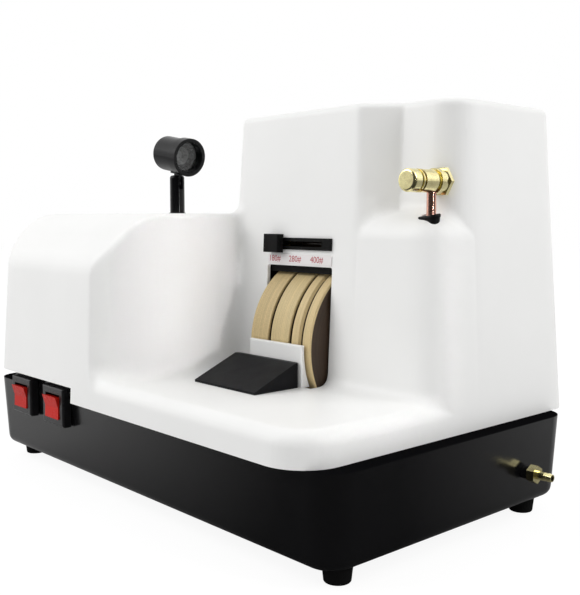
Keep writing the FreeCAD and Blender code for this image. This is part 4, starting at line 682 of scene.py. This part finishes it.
def shade_by_field(piece, field, start, pitch):
    """Take the shading of the outer skin from the field, so that it stays even over thin triangles."""
    mesh = piece.data
    mesh.shade_smooth()
    co = np.zeros(len(mesh.vertices) * 3)
    mesh.vertices.foreach_get("co", co)
    points = co.reshape(-1, 3) / MM - np.array([SHIFT_X, SHIFT_Y, 0.0])
    value, slope = sample(field, start, pitch, points)
    vertex = np.zeros(len(mesh.loops), np.int64)
    mesh.loops.foreach_get("vertex_index", vertex)
    loops = np.zeros(len(mesh.polygons), np.int64)
    mesh.polygons.foreach_get("loop_total", loops)
    flat = np.zeros(len(mesh.polygons) * 3)
    mesh.polygons.foreach_get("normal", flat)
    flat = flat.reshape(-1, 3).repeat(loops, axis=0)
    soft = slope[vertex]
    on_skin = (np.abs(value[vertex]) < 0.7) & (np.sum(soft * flat, axis=1) > 0.7)
    normals = np.where(on_skin[:, None], soft, flat)
    mesh.normals_split_custom_set(normals.tolist())


def make_grommet(field, start):
    """Soft oval ring that lies flat on the crest of the column's rounded top."""
    pitch = 0.5
    low = np.array([180.0, -16.0, 216.0])
    tube_x, tube_y = TUBE_PLACE
    crest_y = -8.9
    gx, gy, gz = np.meshgrid(*[low[k] + pitch * np.arange(n) for k, n in enumerate((46, 32, 42))], indexing="ij")
    points = np.stack([gx.ravel(), gy.ravel(), gz.ravel()], axis=1)
    skin = sample(field, start, PITCH, points)[0].reshape(gx.shape)
    along = np.clip(gx, 187.3, 195.4)
    oval = np.hypot(gx - along, gy + 8.5) - 4.9
    heights = np.arange(216.0, 236.0, 0.1)
    above = np.stack([np.full_like(heights, tube_x), np.full_like(heights, crest_y), heights], axis=1)
    crest = heights[np.argmax(sample(field, start, PITCH, above)[0] > 0)]
    middle = crest + 0.2 + 0.18 * (0.669 * (gx - tube_x) + 0.743 * (gy - crest_y))
    flange = both_round(oval, np.abs(gz - middle) - 1.5, 1.2)
    neck = np.maximum(np.maximum(oval + 0.5, gz - middle), -skin - 2.2)
    ring = np.minimum(flange, neck)
    bore = 3.45 - np.hypot(gx - tube_x, gy - tube_y)
    verts, quads = net_mesh(np.maximum(ring, bore).astype(np.float32), low, pitch)
    piece = add_object("grommet", mesh_from("grommet", in_frame(verts), quads), "black_rubber", "housing")
    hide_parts("tube_grommet")


def make_cover():
    start = np.array([-224.0, -162.0, 60.0])
    grid = [start[k] + PITCH * np.arange(n) for k, n in enumerate((225, 156, 130))]
    field = cover_field(grid)
    z = grid[2][None, None, :]
    closed = np.maximum(field, (66.0 - z).astype(np.float32))
    verts, quads = net_mesh(closed, start, PITCH)
    cover = temporary("cover", verts, quads)
    thinned(cover, 0.28)
    step = 2
    coarse = field[::step, ::step, ::step] + SKIN
    coarse = np.maximum(coarse, (SEAM + SKIN - z[:, :, ::step]).astype(np.float32))
    verts, quads = net_mesh(coarse, start, PITCH * step)
    hollow = temporary("hollow", verts, quads)
    thinned(hollow, 0.3)
    rim = temporary("rim", *upright_bar([(-189, -126), (189, -126), (189, 113), (-189, 113)], [10] * 4, 62, 80))
    floor = temporary("floor", *box_bar(-230, 230, -170, 160, 50, SEAM))
    tab = temporary("tab", *box_bar(-230, -62, -170, -104.5, 60, 88.5))
    window = temporary("window", *rounded_bar(35, 110, 96, 189, -44, 24, 2))
    well = temporary("well", *box_bar(35.4, 109.6, -45, 23.6, 70, 104))
    rail = temporary("rail", *box_bar(39.1, 107.9, -24.5, -17.0, 202.7, 209.9))
    grommet = temporary("grommet", *upright_bar([(185.5, -12.6), (198.5, -12.6), (198.5, -4.6), (185.5, -4.6)],
                                                [3.9] * 4, 214, 236))
    valve_x = TUBE_PLACE[0]
    valve = temporary("valve", *round_bar((valve_x, -8, VALVE_HEIGHT), (valve_x, 16, VALVE_HEIGHT), 5.3))
    lamp = temporary("lamp", *round_bar((*LAMP_POST, 220), (*LAMP_POST, 236), 4.55))
    cap = temporary("cap", *round_bar((*CAP_PLACE, 303.7), (*CAP_PLACE, 320), 24.3, 96))
    neck = temporary("neck", *round_bar((*CAP_PLACE, 296), (*CAP_PLACE, 310), 17.3, 64))
    carve(cover, [hollow, rim, floor, tab, window, well, rail, grommet, valve, lamp, cap, neck])
    shade_by_field(cover, field, start, PITCH)
    make_grommet(field, start)
    mesh = cover.data
    bpy.data.objects.remove(cover)
    piece = add_object("cover", mesh, "cover_white", "housing", smooth=False)
    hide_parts("top_shell")


make_cover()


# Numbers on the strip

def number_text(text, x, z, size):
    curve = bpy.data.curves.new("number", "FONT")
    curve.body = text
    curve.size = size
    curve.align_x = "CENTER"
    curve.align_y = "CENTER"
    curve.extrude = 0.00004
    holder = bpy.data.objects.new("text", curve)
    bpy.context.scene.collection.objects.link(holder)
    lean = math.atan(DRAFT)
    front = -28.2 + (z - SEAM) * DRAFT - 0.85
    holder.matrix_world = Matrix.Translation(at(x, front, z)) @ Matrix.Rotation(math.pi / 2 - lean, 4, "X")
    graph = bpy.context.evaluated_depsgraph_get()
    mesh = bpy.data.meshes.new_from_object(holder.evaluated_get(graph), depsgraph=graph)
    mesh.transform(holder.matrix_world)
    bpy.data.objects.remove(holder)
    return add_object("number_" + text[:3], mesh, "plate_print", "housing", smooth=False)


ink = finish_like("number_ink", (0.42, 0.035, 0.05), 0.4, grain_strength=0.1, spread=0.15)
for text, x in (("180#", 44.4), ("280#", 68.6), ("400#", 93.4)):
    number = number_text(text, x, 194.2, 0.0069)
    number.data.materials[0] = ink


# Stage, light and camera

AMBIENT = 0.57
LAMP_DISTANCE = 2.0
LAMP_RISE = math.radians(36)
AIM_HEIGHT = 0.15
FOCAL_PIXELS = 878.0
PICTURE_PIXELS = 595.0
SENSOR = 36.0


def make_stage():
    """White floor that stays dark to gloss near the camera's side, as in the photograph's studio."""
    material, tree, shader = new_material("floor_white")
    shader.inputs["Base Color"].default_value = (0.66, 0.66, 0.66, 1)
    shader.inputs["Specular IOR Level"].default_value = 0.2
    tree.links.new(ramp(tree, noise(tree, 30.0, 3.0), 0.75, 0.9), shader.inputs["Roughness"])
    path = tree.nodes.new("ShaderNodeLightPath")
    glow = tree.nodes.new("ShaderNodeEmission")
    glow.inputs["Strength"].default_value = 1.14
    mixer = tree.nodes.new("ShaderNodeMixShader")
    tree.links.new(join_values(tree, "MULTIPLY", path.outputs["Is Camera Ray"], 0.8), mixer.inputs["Fac"])
    tree.links.new(shader.outputs["BSDF"], mixer.inputs[1])
    tree.links.new(glow.outputs["Emission"], mixer.inputs[2])
    toward = vector_math(tree, "DOT_PRODUCT", object_place(tree), (0.743, -0.669, 0.0), "Value")
    nearness = ramp(tree, toward, 0.1, 0.97, -0.06, 0.20)
    mirrored = join_values(tree, "MULTIPLY", path.outputs["Is Glossy Ray"], nearness)
    dim = tree.nodes.new("ShaderNodeEmission")
    dim.inputs["Strength"].default_value = 0.02
    last = tree.nodes.new("ShaderNodeMixShader")
    tree.links.new(mirrored, last.inputs["Fac"])
    tree.links.new(mixer.outputs["Shader"], last.inputs[1])
    tree.links.new(dim.outputs["Emission"], last.inputs[2])
    output = tree.nodes["Material Output"]
    tree.links.new(last.outputs["Shader"], output.inputs["Surface"])
    mesh = mesh_from("floor", [(-6, -6, 0), (6, -6, 0), (6, 6, 0), (-6, 6, 0)], [(0, 1, 2, 3)])
    floor = bpy.data.objects.new("floor", mesh)
    bpy.context.scene.collection.objects.link(floor)
    mesh.materials.append(material)


def make_world():
    """White backdrop behind the object, a dim studio on the camera's side."""
    world = bpy.data.worlds.new("studio")
    bpy.context.scene.world = world
    world.use_nodes = True
    tree = world.node_tree
    background = tree.nodes["Background"]
    background.inputs["Color"].default_value = (1, 1, 1, 1)
    path = tree.nodes.new("ShaderNodeLightPath")
    coords = tree.nodes.new("ShaderNodeTexCoord")
    toward = vector_math(tree, "DOT_PRODUCT", coords.outputs["Generated"], (-0.743, 0.669, 0.35), "Value")
    glossy = ramp(tree, toward, 0.05, 1.0, -0.25, 0.12)
    plain = join_values(tree, "MAXIMUM", path.outputs["Is Camera Ray"], path.outputs["Is Transmission Ray"])
    first = tree.nodes.new("ShaderNodeMix")
    tree.links.new(ramp(tree, toward, AMBIENT * 0.7, AMBIENT * 1.18, -0.95, 0.1), first.inputs["A"])
    tree.links.new(path.outputs["Is Glossy Ray"], first.inputs["Factor"])
    tree.links.new(glossy, first.inputs["B"])
    second = tree.nodes.new("ShaderNodeMix")
    second.inputs["B"].default_value = 1.0
    tree.links.new(plain, second.inputs["Factor"])
    tree.links.new(first.outputs["Result"], second.inputs["A"])
    tree.links.new(second.outputs["Result"], background.inputs["Strength"])


def softbox(name, place, aim, size, power):
    data = bpy.data.lights.new(name, "AREA")
    data.shape = "RECTANGLE"
    data.size = size[0]
    data.size_y = size[1]
    data.energy = power
    lamp = bpy.data.objects.new(name, data)
    bpy.context.scene.collection.objects.link(lamp)
    lamp.location = place
    lamp.rotation_euler = (Vector(aim) - Vector(place)).to_track_quat("-Z", "Y").to_euler()
    return lamp


make_stage()
make_world()
for name, azimuth, power in (("left_softbox", 236, 18.0), ("right_softbox", 25, 16.3)):
    flat = math.radians(azimuth)
    out = LAMP_DISTANCE * math.cos(LAMP_RISE)
    place = (out * math.cos(flat), out * math.sin(flat), LAMP_DISTANCE * math.sin(LAMP_RISE) + AIM_HEIGHT)
    softbox(name, place, (0, 0, AIM_HEIGHT), (1.3, 1.3), power)

# A narrow beam along the front walls fills the recess beside the window.
recess_fill = softbox("recess_fill", (1.0, -0.078, 0.19), (0.0, -0.068, 0.17), (0.10, 0.16), 0.016)
recess_fill.data.spread = math.radians(8)

camera_data = bpy.data.cameras.new("camera")
camera_data.lens = FOCAL_PIXELS * SENSOR / PICTURE_PIXELS
camera_data.sensor_width = SENSOR
camera_data.sensor_fit = "AUTO"
camera_data.clip_start = 0.01
camera = bpy.data.objects.new("camera", camera_data)
bpy.context.scene.collection.objects.link(camera)
camera.location = (0.57201, -0.48465, 0.226)
turn, pitch = math.radians(48.0), math.radians(5.12)
forward = Vector((-math.sin(turn) * math.cos(pitch), math.cos(turn) * math.cos(pitch), -math.sin(pitch)))
camera.rotation_euler = forward.to_track_quat("-Z", "Y").to_euler()
bpy.context.scene.camera = camera
bpy.context.scene.view_settings.view_transform = "Standard"

bpy.context.view_layer.update()
